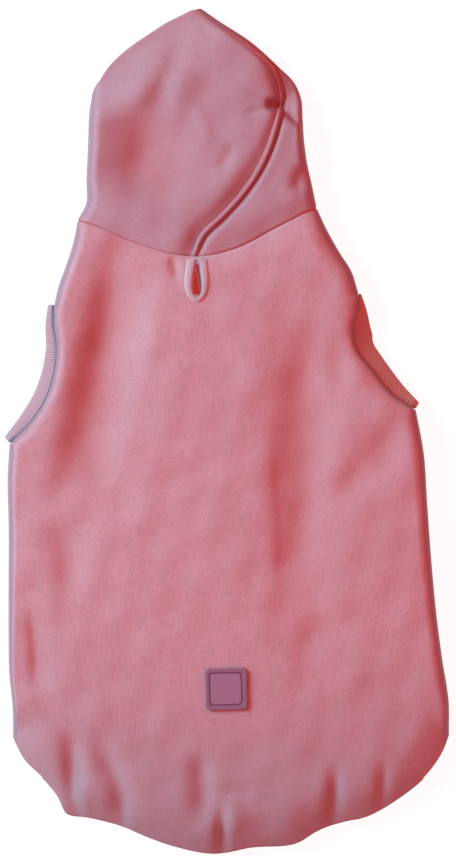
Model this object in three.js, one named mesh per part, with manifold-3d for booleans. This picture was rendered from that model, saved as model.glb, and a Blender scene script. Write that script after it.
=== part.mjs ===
// Hooded pet sweatshirt without sleeves, laid flat with its back up.
// Millimetres. +X is the right of the photograph, +Y runs from the hem to the hood, +Z is up.
// Lengths in the tables are shares of the named sizes, measured from the nape, where the
// centre seam of the hood meets the neck seam.
import * as THREE from "three";
import { mergeVertices } from "three/addons/utils/BufferGeometryUtils.js";
import Module from "manifold-3d";

// Overall sizes
const BODY_WIDTH = 318;
const BODY_LENGTH = 430;
const HOOD_WIDTH = 173;
const HOOD_LENGTH = 180;

// Cloth
const WALL = 2;
const GAP = 0.3;
const FOLD_GAP = 0.9;
const THROAT_GAP = 1.2;
const CREASE_GAP = 0.6;
const UNDER_SEAM_GAP = 0.7;
const LOFT = 15;
const FOLD_HEIGHT = 5.2;
const FOLD_REACH = 22;
const UNDER_REACH = 6;
const RETURN_WIDTH = 28;
const RETURN_MIN = 5;

// Hem, turned up inside
const HEM_HEIGHT = 4;
const HEM_CORNER_HEIGHT = 2.7;
const HEM_SLOPE = 26;
const HEM_TURN = 13;
const HEM_TURN_INSET = 34;

// Face opening of the hood
const FACE_HEIGHT = 9.5;
const FACE_SLOPE = 34;

// Rolled centre seam of the hood
const ROLL_WIDTH = 6;
const ROLL_HEIGHT = 3.4;
const CREASE_DEPTH = 2.2;
const CREASE_WIDTH = 2.6;

// Ribbed armbands
const ARMBAND_WIDTH = 12;
const ARMBAND_WALL = 2;
const RIB_PITCH = 1.8;
const RIB_DEPTH = 0.5;
const BAND_GAP = 0.45;
const TIP_GAP = 1.3;

// Leash slot under the neck seam
const SLOT_WIDTH = 19;
const SLOT_LENGTH = 33;
const SLOT_WALL = 3;
const SLOT_FROM_SEAM = 0.8;

// Label patch on the back
const PATCH_SIZE = 30;
const PATCH_CORNER = 3.2;
const PATCH_WALL = 1.6;
const PATCH_TURN = 1.5;
const PATCH_FRAME = 3.6;
const GROOVE_WIDTH = 0.9;
const GROOVE_DEPTH = 0.5;
const PATCH_REST = 30;
const PATCH_EASE = 26;
const PATCH_X = 0.066;
const PATCH_DOWN = 0.722;

// Mesh steps
const BACK_COLUMNS = 24;
const RETURN_COLUMNS = 4;
const BELLY_COLUMNS = 10;
const SHOULDER_ROWS = 5;
const ARMHOLE_ROWS = 11;
const FLANK_ROWS = 11;
const HOOD_ROWS = 13;

// Neck seam over the back, from the left fold to the right fold. Shares of the hood.
const NECK = [
  { x: -0.499, up: 0.144 },
  { x: -0.405, up: 0.116 },
  { x: -0.248, up: 0.054 },
  { x: -0.112, up: 0.012 },
  { x: 0.0, up: 0.0 },
  { x: 0.146, up: 0.026 },
  { x: 0.325, up: 0.112 },
  { x: 0.42, up: 0.158 },
  { x: 0.499, up: 0.196 },
];
const NAPE_ROW = 4;

// Neck seam under the throat, between the same two folds
const THROAT = [
  { x: -0.499, up: 0.144 },
  { x: -0.41, up: 0.045 },
  { x: -0.24, up: -0.09 },
  { x: 0.0, up: -0.15 },
  { x: 0.24, up: -0.08 },
  { x: 0.41, up: 0.08 },
  { x: 0.499, up: 0.196 },
];

// Side outlines from the neck to the armholes. Shares of the body.
const SHOULDER = [
  { left: -0.272, leftDown: -0.06, right: 0.272, rightDown: -0.082 },
  { left: -0.283, leftDown: -0.02, right: 0.294, rightDown: -0.047 },
  { left: -0.299, leftDown: 0.017, right: 0.324, rightDown: -0.007 },
  { left: -0.315, leftDown: 0.05, right: 0.351, rightDown: 0.025 },
  { left: -0.324, leftDown: 0.079, right: 0.366, rightDown: 0.06 },
];

// Armhole edges and the width of the band that is sewn on, as a share of ARMBAND_WIDTH
const ARMHOLE = [
  { left: -0.324, leftDown: 0.079, leftBand: 0.45, right: 0.366, rightDown: 0.06, rightBand: 0.4 },
  { left: -0.324, leftDown: 0.111, leftBand: 0.62, right: 0.362, rightDown: 0.09, rightBand: 0.85 },
  { left: -0.318, leftDown: 0.149, leftBand: 0.76, right: 0.353, rightDown: 0.124, rightBand: 1.25 },
  { left: -0.324, leftDown: 0.196, leftBand: 0.86, right: 0.362, rightDown: 0.156, rightBand: 1.2 },
  { left: -0.346, leftDown: 0.243, leftBand: 0.9, right: 0.396, rightDown: 0.189, rightBand: 1.05 },
  { left: -0.383, leftDown: 0.283, leftBand: 0.82, right: 0.441, rightDown: 0.229, rightBand: 0.95 },
  { left: -0.426, leftDown: 0.315, leftBand: 0.6, right: 0.497, rightDown: 0.258, rightBand: 0.55 },
];

// Side outlines from the armholes to the hem
const FLANK = [
  { left: -0.426, leftDown: 0.315, right: 0.497, rightDown: 0.258 },
  { left: -0.43, leftDown: 0.367, right: 0.514, rightDown: 0.325 },
  { left: -0.428, leftDown: 0.45, right: 0.523, rightDown: 0.417 },
  { left: -0.428, leftDown: 0.543, right: 0.532, rightDown: 0.509 },
  { left: -0.428, leftDown: 0.635, right: 0.543, rightDown: 0.596 },
  { left: -0.426, leftDown: 0.702, right: 0.557, rightDown: 0.676 },
  { left: -0.419, leftDown: 0.752, right: 0.571, rightDown: 0.743 },
  { left: -0.419, leftDown: 0.805, right: 0.573, rightDown: 0.802 },
];

// Back hem, from the left fold to the right fold
const HEM = [
  { x: -0.419, down: 0.805 },
  { x: -0.396, down: 0.839 },
  { x: -0.344, down: 0.877 },
  { x: -0.318, down: 0.9 },
  { x: -0.296, down: 0.93 },
  { x: -0.242, down: 0.938 },
  { x: -0.174, down: 0.951 },
  { x: -0.106, down: 0.972 },
  { x: -0.05, down: 0.986 },
  { x: 0.045, down: 0.998 },
  { x: 0.12, down: 0.988 },
  { x: 0.233, down: 0.978 },
  { x: 0.27, down: 0.961 },
  { x: 0.335, down: 0.944 },
  { x: 0.375, down: 0.938 },
  { x: 0.46, down: 0.904 },
  { x: 0.525, down: 0.864 },
  { x: 0.556, down: 0.832 },
  { x: 0.573, down: 0.802 },
];

// Belly hem, shorter than the back
const BELLY_HEM = [
  { x: -0.419, down: 0.805 },
  { x: -0.378, down: 0.757 },
  { x: -0.288, down: 0.717 },
  { x: -0.129, down: 0.687 },
  { x: 0.07, down: 0.676 },
  { x: 0.278, down: 0.683 },
  { x: 0.448, down: 0.713 },
  { x: 0.539, down: 0.754 },
  { x: 0.573, down: 0.802 },
];

// Hood: left fold, centre seam and right fold, from the neck to the face opening
const HOOD = [
  { left: -0.499, leftUp: 0.144, seam: 0.0, seamUp: 0.0, right: 0.499, rightUp: 0.196 },
  { left: -0.464, leftUp: 0.208, seam: 0.029, seamUp: 0.068, right: 0.479, rightUp: 0.288 },
  { left: -0.462, leftUp: 0.304, seam: 0.112, seamUp: 0.148, right: 0.46, rightUp: 0.372 },
  { left: -0.458, leftUp: 0.4, seam: 0.212, seamUp: 0.256, right: 0.447, rightUp: 0.464 },
  { left: -0.454, leftUp: 0.488, seam: 0.291, seamUp: 0.38, right: 0.441, rightUp: 0.552 },
  { left: -0.452, leftUp: 0.552, seam: 0.339, seamUp: 0.512, right: 0.435, rightUp: 0.632 },
  { left: -0.447, leftUp: 0.6, seam: 0.36, seamUp: 0.64, right: 0.412, rightUp: 0.688 },
  { left: -0.441, leftUp: 0.632, seam: 0.318, seamUp: 0.754, right: 0.337, rightUp: 0.764 },
  { left: -0.437, leftUp: 0.656, seam: 0.21, seamUp: 0.848, right: 0.229, rightUp: 0.857 },
  { left: -0.431, leftUp: 0.672, seam: 0.069, seamUp: 0.938, right: 0.087, rightUp: 0.947 },
  { left: -0.424, leftUp: 0.684, seam: -0.006, seamUp: 0.99, right: 0.018, rightUp: 0.994 },
];

// Edge of the face opening, from the left fold to the centre seam at the peak
const FACE = [
  { x: -0.424, up: 0.684 },
  { x: -0.358, up: 0.772 },
  { x: -0.287, up: 0.834 },
  { x: -0.2, up: 0.892 },
  { x: -0.129, up: 0.936 },
  { x: -0.067, up: 0.966 },
  { x: -0.029, up: 0.984 },
  { x: -0.006, up: 0.99 },
];

// Throat seam under the hood, as a share of the way from the left fold to the right fold
const THROAT_SEAM = [
  { up: 0.0, across: 0.5 },
  { up: 0.5, across: 0.3 },
  { up: 1.0, across: 0.07 },
];

// Folds of the back: a bent line through three points, with x across and y down from the nape,
// its half widths to its left and right as shares of BODY_WIDTH, and its rise as a share of LOFT
const BACK_FOLDS = [
  { x1: -0.16, y1: -0.06, x2: -0.215, y2: 0.13, x3: -0.27, y3: 0.38, left: 0.055, right: 0.06, rise: -0.58 },
  { x1: 0.275, y1: 0, x2: 0.255, y2: 0.25, x3: 0.245, y3: 0.64, left: 0.068, right: 0.06, rise: -0.4 },
  { x1: 0.487, y1: 0.262, x2: 0.4, y2: 0.335, x3: 0.31, y3: 0.4, left: 0.026, right: 0.03, rise: -0.24 },
  { x1: 0.33, y1: 0.58, x2: 0.27, y2: 0.64, x3: 0.21, y3: 0.7, left: 0.04, right: 0.05, rise: -0.16 },
  { x1: -0.31, y1: 0.42, x2: -0.295, y2: 0.5, x3: -0.29, y3: 0.6, left: 0.035, right: 0.04, rise: -0.18 },
  { x1: -0.15, y1: 0.38, x2: -0.05, y2: 0.37, x3: 0.05, y3: 0.3, left: 0.03, right: 0.05, rise: -0.08 },
  { x1: -0.08, y1: 0.05, x2: -0.12, y2: 0.13, x3: -0.14, y3: 0.24, left: 0.07, right: 0.07, rise: 0.1 },
  { x1: -0.285, y1: 0.77, x2: -0.28, y2: 0.86, x3: -0.27, y3: 1, left: 0.026, right: 0.022, rise: -0.4 },
  { x1: -0.24, y1: 0.79, x2: -0.18, y2: 0.88, x3: -0.16, y3: 1, left: 0.026, right: 0.024, rise: -0.28 },
  { x1: 0, y1: 0.81, x2: 0.012, y2: 0.88, x3: 0.02, y3: 0.96, left: 0.03, right: 0.026, rise: -0.26 },
  { x1: 0.315, y1: 0.83, x2: 0.31, y2: 0.9, x3: 0.3, y3: 1, left: 0.018, right: 0.02, rise: -0.34 },
];

// Folds of the hood, with y up from the nape and half widths as shares of HOOD_WIDTH
const HOOD_FOLDS = [
  { x1: -0.24, y1: 0.68, x2: -0.21, y2: 0.43, x3: -0.27, y3: 0.17, left: 0.14, right: 0.15, rise: -0.52 },
  { x1: -0.2, y1: 0.55, x2: -0.12, y2: 0.72, x3: -0.05, y3: 0.9, left: 0.06, right: 0.05, rise: -0.24 },
  { x1: -0.06, y1: 0.78, x2: -0.08, y2: 0.63, x3: -0.12, y3: 0.48, left: 0.06, right: 0.06, rise: 0.08 },
  { x1: 0.11, y1: 0.74, x2: 0.04, y2: 0.64, x3: -0.01, y3: 0.54, left: 0.06, right: 0.06, rise: -0.1 },
  { x1: 0.2, y1: 0.62, x2: 0.25, y2: 0.608, x3: 0.3, y3: 0.61, left: 0.025, right: 0.03, rise: -0.08 },
  { x1: 0.17, y1: 0.47, x2: 0.13, y2: 0.38, x3: 0.08, y3: 0.31, left: 0.035, right: 0.03, rise: -0.14 },
  { x1: 0.49, y1: 0.37, x2: 0.455, y2: 0.3, x3: 0.42, y3: 0.24, left: 0.05, right: 0.04, rise: -0.36 },
];

// Dip of the neck seam, with its half width as a share of BODY_WIDTH
const NECK_DIP = { width: 0.028, rise: -0.14 };

// Outlines of the leash slot's binding. Shares of SLOT_WIDTH and SLOT_LENGTH from its centre.
const SLOT = [
  { x: 0.0, up: 0.497, innerX: -0.01, innerUp: 0.4 },
  { x: -0.2, up: 0.495, innerX: -0.035, innerUp: 0.37 },
  { x: -0.385, up: 0.47, innerX: -0.075, innerUp: 0.31 },
  { x: -0.49, up: 0.217, innerX: -0.15, innerUp: 0.18 },
  { x: -0.49, up: -0.043, innerX: -0.175, innerUp: -0.03 },
  { x: -0.37, up: -0.304, innerX: -0.135, innerUp: -0.2 },
  { x: -0.19, up: -0.45, innerX: -0.075, innerUp: -0.29 },
  { x: 0.01, up: -0.5, innerX: 0.01, innerUp: -0.326 },
  { x: 0.22, up: -0.44, innerX: 0.08, innerUp: -0.28 },
  { x: 0.4, up: -0.27, innerX: 0.13, innerUp: -0.19 },
  { x: 0.485, up: -0.05, innerX: 0.165, innerUp: -0.03 },
  { x: 0.49, up: 0.217, innerX: 0.145, innerUp: 0.18 },
  { x: 0.395, up: 0.47, innerX: 0.07, innerUp: 0.31 },
  { x: 0.2, up: 0.495, innerX: 0.02, innerUp: 0.37 },
];

// Colours
const CLOTH = { roughness: 0.95, metalness: 0 };
const COLOURS = {
  back_panel: 0xd2909f,
  belly_panel: 0xcf8fa0,
  hood_left_panel: 0xbd8095,
  hood_right_panel: 0xc48796,
  armband_left: 0xbf89a0,
  armband_right: 0xc38682,
  leash_slot_binding: 0xc98795,
  label_patch: 0xa46884,
};

// Plan points

const bodyPoint = (x, down) => new THREE.Vector2(x * BODY_WIDTH, -down * BODY_LENGTH);
const hoodPoint = (x, up) => new THREE.Vector2(x * HOOD_WIDTH, up * HOOD_LENGTH);
const clamp01 = (t) => Math.min(1, Math.max(0, t));
const ease = (t) => clamp01(t) ** 2 * (3 - 2 * clamp01(t));
const mix = (a, b, t) => a + (b - a) * t;
const evenSteps = (count) => Array.from({ length: count + 1 }, (_, k) => k / count);
const endSteps = (count) => evenSteps(count).map((t) => (1 - Math.cos(Math.PI * t)) / 2);
const underSteps = (count) => evenSteps(count).map((t) => t ** 1.8);
const startSteps = (count) => evenSteps(count).map((t) => 1 - Math.cos((Math.PI * t) / 2));

// Smooth curve through points, with its parameter in proportion to the chord length
class Curve {
  constructor(points) {
    this.points = points;
    this.knots = [0];
    for (let k = 1; k < points.length; k += 1) {
      this.knots.push(this.knots[k - 1] + points[k].distanceTo(points[k - 1]));
    }
    this.length = this.knots[points.length - 1];
    this.slopes = points.map((_, k) => this.slope(k));
  }

  slope(k) {
    const last = this.points.length - 1;
    const before = Math.max(0, k - 1);
    const after = Math.min(last, k + 1);
    const rate = (a, b) => this.points[b].clone().sub(this.points[a])
      .divideScalar(this.knots[b] - this.knots[a]);
    if (k === 0 || k === last) {
      return rate(before, after);
    }
    const weight = (this.knots[k] - this.knots[before]) / (this.knots[after] - this.knots[before]);
    return rate(before, k).lerp(rate(k, after), weight);
  }

  at(t) {
    const way = clamp01(t) * this.length;
    let k = 0;
    while (k < this.points.length - 2 && way > this.knots[k + 1]) {
      k += 1;
    }
    const step = this.knots[k + 1] - this.knots[k];
    const s = (way - this.knots[k]) / step;
    const h1 = 2 * s ** 3 - 3 * s ** 2 + 1;
    const h2 = s ** 3 - 2 * s ** 2 + s;
    const h3 = s ** 3 - s ** 2;
    return this.points[k].clone().multiplyScalar(h1)
      .addScaledVector(this.slopes[k], h2 * step)
      .addScaledVector(this.points[k + 1], 1 - h1)
      .addScaledVector(this.slopes[k + 1], h3 * step);
  }

  share(k) {
    return this.knots[k] / this.length;
  }

  // Place among the table's rows at a share of the length, and the point at such a place
  placeAt(t) {
    const way = clamp01(t) * this.length;
    const k = Math.max(0, this.knots.findLastIndex((knot, i) => knot <= way && i < this.knots.length - 1));
    return k + (way - this.knots[k]) / (this.knots[k + 1] - this.knots[k]);
  }

  atPlace(place) {
    const k = Math.min(this.points.length - 2, Math.floor(place));
    return this.at(mix(this.share(k), this.share(k + 1), place - k));
  }
}

// Where a curve comes nearest to a point: distance, side and share of the way along
function nearest(polyline, point) {
  const best = { distance: Infinity, side: 1, along: 0 };
  const last = polyline.length - 1;
  for (let k = 0; k < last; k += 1) {
    const start = polyline[k];
    const run = polyline[k + 1].clone().sub(start);
    const off = point.clone().sub(start);
    const s = clamp01(off.dot(run) / run.lengthSq());
    const distance = off.addScaledVector(run, -s).length();
    if (distance < best.distance) {
      best.distance = distance;
      best.side = Math.sign(run.x * off.y - run.y * off.x);
      best.along = (k + s) / last;
    }
  }
  return best;
}

const trace = (curve, count) => evenSteps(count).map((t) => curve.at(t));

// Surface patch spanned by four border curves in plan
function patch(first, last, left, right) {
  return (u, v) => {
    const point = left(v).multiplyScalar(1 - u).addScaledVector(right(v), u);
    point.addScaledVector(first(u), 1 - v).addScaledVector(last(u), v);
    point.addScaledVector(left(0), -(1 - u) * (1 - v)).addScaledVector(right(0), -u * (1 - v));
    return point.addScaledVector(left(1), -(1 - u) * v).addScaledVector(right(1), -u * v);
  };
}

// Borders

const neckCurve = new Curve(NECK.map((row) => hoodPoint(row.x, row.up)));
const throatCurve = new Curve(THROAT.map((row) => hoodPoint(row.x, row.up)));
const hemCurve = new Curve(HEM.map((row) => bodyPoint(row.x, row.down)));
const bellyHemCurve = new Curve(BELLY_HEM.map((row) => bodyPoint(row.x, row.down)));
const faceCurve = new Curve(FACE.map((row) => hoodPoint(row.x, row.up)));
const seamCurve = new Curve(HOOD.map((row) => hoodPoint(row.seam, row.seamUp)));
const napeShare = neckCurve.share(NAPE_ROW);

// One side of the body: three stretches that meet at the two ends of the armhole
function sideCurves(x, down, neckEnd) {
  const first = bodyPoint(SHOULDER[0][x], SHOULDER[0][down]);
  const shift = neckEnd.clone().sub(first);
  const shoulder = SHOULDER.map((row, k) => bodyPoint(row[x], row[down])
    .addScaledVector(shift, (1 - k / (SHOULDER.length - 1)) ** 2));
  return {
    shoulder: new Curve(shoulder),
    armhole: new Curve(ARMHOLE.map((row) => bodyPoint(row[x], row[down]))),
    flank: new Curve(FLANK.map((row) => bodyPoint(row[x], row[down]))),
  };
}

const SIDES = {
  left: sideCurves("left", "leftDown", neckCurve.at(0)),
  right: sideCurves("right", "rightDown", neckCurve.at(1)),
};
const inset = { left: WALL / 2, right: -WALL / 2 };

// Rows of the body from the neck to the hem
const STRETCHES = [
  { name: "shoulder", from: 0, to: 0.16, steps: evenSteps(SHOULDER_ROWS) },
  { name: "armhole", from: 0.16, to: 0.43, steps: evenSteps(ARMHOLE_ROWS) },
  { name: "flank", from: 0.43, to: 1, steps: evenSteps(FLANK_ROWS).map((t) => 1 - (1 - t) ** 1.25) },
];
const bodyRows = [];
for (const stretch of STRETCHES) {
  const skip = stretch.name === "shoulder" ? 0 : 1;
  for (const t of stretch.steps.slice(skip)) {
    bodyRows.push({ stretch: stretch.name, t, v: mix(stretch.from, stretch.to, t) });
  }
}

function sidePoint(side, v) {
  const stretch = STRETCHES.find((item) => v <= item.to + 1e-9) ?? STRETCHES[2];
  const t = (v - stretch.from) / (stretch.to - stretch.from);
  const point = SIDES[side][stretch.name].at(t);
  point.x += inset[side];
  return point;
}

const hoodSides = {
  left: new Curve(HOOD.map((row) => hoodPoint(row.left, row.leftUp))),
  right: new Curve(HOOD.map((row) => hoodPoint(row.right, row.rightUp))),
};

function hoodSide(side, v) {
  const point = hoodSides[side].atPlace(seamCurve.placeAt(v));
  point.x += inset[side];
  return point;
}

// Border curves run from one inset fold to the other
function between(curve, start, end) {
  const startShift = start.clone().sub(curve.at(0));
  const endShift = end.clone().sub(curve.at(1));
  return (u) => curve.at(u)
    .addScaledVector(startShift, ease(1 - u * 6))
    .addScaledVector(endShift, ease(1 - (1 - u) * 6));
}

const neckEnds = [sidePoint("left", 0), sidePoint("right", 0)];
const hemEnds = [sidePoint("left", 1), sidePoint("right", 1)];
const neckLine = between(neckCurve, ...neckEnds);
const throatLine = between(throatCurve, ...neckEnds);
const hemLine = between(hemCurve, ...hemEnds);
const bellyHemLine = between(bellyHemCurve, ...hemEnds);
const bodyLeft = (v) => sidePoint("left", v);
const bodyRight = (v) => sidePoint("right", v);
const hoodLeft = (v) => hoodSide("left", v);
const hoodRight = (v) => hoodSide("right", v);
const hoodSeam = (v) => seamCurve.at(v);

const backPlan = patch(neckLine, hemLine, bodyLeft, bodyRight);
const underPlan = patch(throatLine, bellyHemLine, bodyLeft, bodyRight);

const peak = { seam: hoodSeam(1), right: hoodRight(1), left: hoodLeft(1) };
const faceLine = between(faceCurve, peak.left, peak.seam);
const peakLine = (u) => peak.seam.clone().lerp(peak.right, u);
const faceWhole = (u) => peak.left.clone().lerp(peak.right, u)
  .add(faceLine(u).sub(peak.left.clone().lerp(peak.seam, u)));
const hoodLeftPlan = patch((u) => neckLine(u * napeShare), faceLine, hoodLeft, hoodSeam);
const hoodRightPlan = patch((u) => neckLine(mix(napeShare, 1, u)), peakLine, hoodSeam, hoodRight);
const hoodUnderPlan = patch(throatLine, faceWhole, hoodLeft, hoodRight);

// Height of the upper layer

const neckTrace = trace(neckCurve, 32);
const hemTrace = trace(hemCurve, 40);
const faceTrace = trace(faceCurve, 20);
const seamTrace = trace(seamCurve, 40);

function foldLines(table, place, width) {
  return table.map((row) => ({
    line: trace(new Curve([1, 2, 3].map((k) => place(row[`x${k}`], row[`y${k}`]))), 12),
    left: row.left * width,
    right: row.right * width,
    rise: row.rise,
  }));
}

const folds = [
  ...foldLines(BACK_FOLDS, bodyPoint, BODY_WIDTH),
  ...foldLines(HOOD_FOLDS, hoodPoint, HOOD_WIDTH),
];

const bell = (t) => Math.exp(-t * t);
const patchCentre = bodyPoint(PATCH_X, PATCH_DOWN);

function foldSum(point) {
  let sum = NECK_DIP.rise * bell(nearest(neckTrace, point).distance / (NECK_DIP.width * BODY_WIDTH));
  for (const fold of folds) {
    const near = nearest(fold.line, point);
    const width = near.side > 0 ? fold.right : fold.left;
    sum += fold.rise * bell(near.distance / width) * ease(Math.min(near.along, 1 - near.along) / 0.38);
  }
  return sum;
}

// Rolled seam of the hood: a crease on the seam and a roll on its left
function rollHeight(point) {
  const near = nearest(seamTrace, point);
  const left = near.distance * near.side;
  const start = ease(near.along / 0.22);
  const roll = ROLL_HEIGHT * bell((left - ROLL_WIDTH * 0.75) / (ROLL_WIDTH * 0.5));
  return (roll - CREASE_DEPTH * bell(left / CREASE_WIDTH)) * start;
}

const patchHeight = LOFT * (1 + foldSum(patchCentre));

function height(point, onHood) {
  const flat = 1 - ease((point.distanceTo(patchCentre) - PATCH_REST) / PATCH_EASE);
  const folded = LOFT * (1 + foldSum(point)) + (onHood ? rollHeight(point) : 0);
  const level = mix(folded, patchHeight, flat);
  const overHem = mix(HEM_HEIGHT, level, ease(nearest(hemTrace, point).distance / HEM_SLOPE));
  return mix(FACE_HEIGHT, overHem, ease(nearest(faceTrace, point).distance / FACE_SLOPE));
}

const bulge = (t) => Math.sqrt(Math.max(0, 1 - (1 - clamp01(t)) ** 2));

// Height of an edge of the upper layer (1) or the lower layer (-1)
const armRadius = FOLD_HEIGHT - WALL / 2;

function edgeHeight(side, row, layer) {
  if (row.stretch === "armhole") {
    const length = SIDES[side].armhole.length;
    const fromTip = Math.min(row.t, 1 - row.t) * length;
    return FOLD_HEIGHT + layer * armRadius * bulge(fromTip / armRadius);
  }
  const point = sidePoint(side, row.v);
  return mix(HEM_CORNER_HEIGHT, FOLD_HEIGHT, ease(nearest(hemTrace, point).distance / HEM_SLOPE));
}

// Point on the upper layer, rounded down to the folds at both sides
function overPoint(point, ends, edges, onHood) {
  const top = height(point, onHood);
  const left = 1 - bulge(point.distanceTo(ends[0]) / FOLD_REACH);
  const right = 1 - bulge(point.distanceTo(ends[1]) / FOLD_REACH);
  const z = top - (top - edges[0]) * left - (top - edges[1]) * right;
  return new THREE.Vector3(point.x, point.y, z);
}

// Point on the lower layer, flat on the table and rounded up to the folds
function underPoint(point, ends, edges) {
  const left = 1 - bulge(point.distanceTo(ends[0]) / UNDER_REACH);
  const right = 1 - bulge(point.distanceTo(ends[1]) / UNDER_REACH);
  const z = WALL / 2 + (edges[0] - WALL / 2) * left + (edges[1] - WALL / 2) * right;
  return new THREE.Vector3(point.x, point.y, z);
}

// Shells

// Direction in which a line of points runs at one of them
function heading(before, here, after) {
  const sum = new THREE.Vector3();
  if (before) {
    sum.add(here.clone().sub(before).normalize());
  }
  if (after) {
    sum.add(after.clone().sub(here).normalize());
  }
  return sum.normalize();
}

// Normals of a grid of points, outwards where the rows run down the garment
function gridNormals(grid, sign) {
  return grid.map((row, i) => row.map((here, j) => {
    const across = heading(row[j - 1], here, row[j + 1]);
    const along = heading(grid[i - 1]?.[j], here, grid[i + 1]?.[j]);
    return along.cross(across).multiplyScalar(sign).normalize();
  }));
}

// Normal of a rim on the neck seam, square to the length of the garment
function seamNormal(row, j) {
  const across = heading(row[j - 1], row[j], row[j + 1]);
  return new THREE.Vector3(-across.z, 0, across.x).normalize();
}

// Closed wall round a grid of points, with cells left out where keep says so
function shell(grid, normals, wall, keep) {
  const rows = grid.length;
  const columns = grid[0].length;
  const positions = [];
  for (const side of [0.5, -0.5]) {
    for (let i = 0; i < rows; i += 1) {
      for (let j = 0; j < columns; j += 1) {
        const point = grid[i][j].clone().addScaledVector(normals[i][j], side * wall);
        positions.push(point.x, point.y, point.z);
      }
    }
  }
  const outer = (i, j) => i * columns + j;
  const inner = (i, j) => rows * columns + i * columns + j;
  const kept = (i, j) => i >= 0 && j >= 0 && i < rows - 1 && j < columns - 1 && keep(i, j);
  const index = [];
  const quad = (a, b, c, d) => index.push(a, b, c, a, c, d);
  for (let i = 0; i < rows - 1; i += 1) {
    for (let j = 0; j < columns - 1; j += 1) {
      if (!kept(i, j)) {
        continue;
      }
      const corners = [[i, j], [i + 1, j], [i + 1, j + 1], [i, j + 1]];
      const turn = grid[i][j].distanceTo(grid[i + 1][j + 1]) > grid[i + 1][j].distanceTo(grid[i][j + 1]);
      const order = turn ? [1, 2, 3, 0] : [0, 1, 2, 3];
      const ring = order.map((k) => corners[k]);
      quad(...ring.map((corner) => outer(...corner)));
      quad(...[...ring].reverse().map((corner) => inner(...corner)));
      const beyond = [[i, j - 1], [i + 1, j], [i, j + 1], [i - 1, j]];
      corners.forEach((corner, k) => {
        if (!kept(...beyond[k])) {
          const next = corners[(k + 1) % 4];
          quad(outer(...next), outer(...corner), inner(...corner), inner(...next));
        }
      });
    }
  }
  return { positions, index };
}

function toGeometry({ positions, index }) {
  const geometry = new THREE.BufferGeometry();
  geometry.setAttribute("position", new THREE.Float32BufferAttribute(positions, 3));
  geometry.setIndex(index);
  const used = geometry.toNonIndexed();
  const merged = mergeVertices(used, 1e-4);
  merged.computeVertexNormals();
  return merged;
}

const flip = ({ positions, index }) => ({
  positions,
  index: index.map((_, k) => index[k - (k % 3) + [0, 2, 1][k % 3]]),
});

// Body panels

const ends = (v) => [bodyLeft(v), bodyRight(v)];

// Width of the back panel's return under one side, narrow where it reaches the armhole
function returnWidth(side, row) {
  const curves = SIDES[side];
  const toArmhole = {
    shoulder: (1 - row.t) * curves.shoulder.length,
    armhole: 0,
    flank: row.t * curves.flank.length,
  }[row.stretch];
  return mix(RETURN_MIN, RETURN_WIDTH, ease(toArmhole / (RETURN_WIDTH * 2)));
}

function bodyRow(row) {
  const sides = ends(row.v);
  const overEdges = ["left", "right"].map((side) => edgeHeight(side, row, 1));
  const underEdges = ["left", "right"].map((side) => edgeHeight(side, row, -1));
  const span = sides[0].distanceTo(sides[1]);
  const under = (u) => underPoint(underPlan(u, row.v), sides, underEdges);
  const over = (u) => overPoint(backPlan(u, row.v), sides, overEdges, false);
  const leftWidth = returnWidth("left", row) / span;
  const rightWidth = returnWidth("right", row) / span;
  const back = [
    ...startSteps(RETURN_COLUMNS).slice(1).reverse().map((t) => under(t * leftWidth)),
    ...endSteps(BACK_COLUMNS).map(over),
    ...startSteps(RETURN_COLUMNS).slice(1).map((t) => under(1 - t * rightWidth)),
  ];
  const open = row.stretch === "armhole" && row.t < 1;
  const from = open ? 0 : leftWidth + UNDER_SEAM_GAP / span;
  const to = open ? 1 : 1 - rightWidth - UNDER_SEAM_GAP / span;
  const belly = evenSteps(BELLY_COLUMNS).map((t) => under(mix(from, to, t)));
  return { back, belly };
}

const bodyGrid = bodyRows.map(bodyRow);
const backGrid = bodyGrid.map((row) => row.back);
const bellyGrid = bodyGrid.map((row) => row.belly.reverse());
const leftFold = RETURN_COLUMNS;
const rightFold = RETURN_COLUMNS + BACK_COLUMNS;
const armStart = SHOULDER_ROWS;
const armEnd = SHOULDER_ROWS + ARMHOLE_ROWS;

// Normal of a rim along a column, upright across the edge, so that the next piece lies level with it
function edgeNormal(grid, i, j, up) {
  const along = heading(grid[i - 1]?.[j], grid[i][j], grid[i + 1]?.[j]);
  const flat = new THREE.Vector3(along.y, -along.x, 0).normalize();
  const normal = flat.cross(along);
  return normal.multiplyScalar(Math.sign(normal.z) * up).normalize();
}

// Rows that turn a hem up on the inside of a panel
function turnedHem(grid, normals) {
  const last = grid.length - 1;
  const radius = (WALL + GAP) / 2;
  const points = [];
  const directions = [];
  for (const angle of [60, 120, 180]) {
    const turn = THREE.MathUtils.degToRad(angle);
    const pairs = grid[last].map((point, j) => {
      const out = point.clone().sub(grid[last - 1][j]);
      out.addScaledVector(normals[last][j], -out.dot(normals[last][j])).normalize();
      const direction = normals[last][j].clone().multiplyScalar(Math.cos(turn))
        .addScaledVector(out, Math.sin(turn));
      const centre = point.clone().addScaledVector(normals[last][j], -radius);
      return { direction, point: centre.addScaledVector(direction, radius) };
    });
    points.push(pairs.map((pair) => pair.point));
    directions.push(pairs.map((pair) => pair.direction));
  }
  const back = grid[last].map((point, j) => {
    const step = point.distanceTo(grid[last - 1][j]);
    const share = Math.min(0.95, HEM_TURN / step);
    const above = point.clone().lerp(grid[last - 1][j], share);
    const normal = normals[last][j].clone().lerp(normals[last - 1][j], share).normalize();
    return { direction: normal.clone().negate(), point: above.addScaledVector(normal, -2 * radius) };
  });
  points.push(back.map((pair) => pair.point));
  directions.push(back.map((pair) => pair.direction));
  return { points, directions };
}

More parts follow.
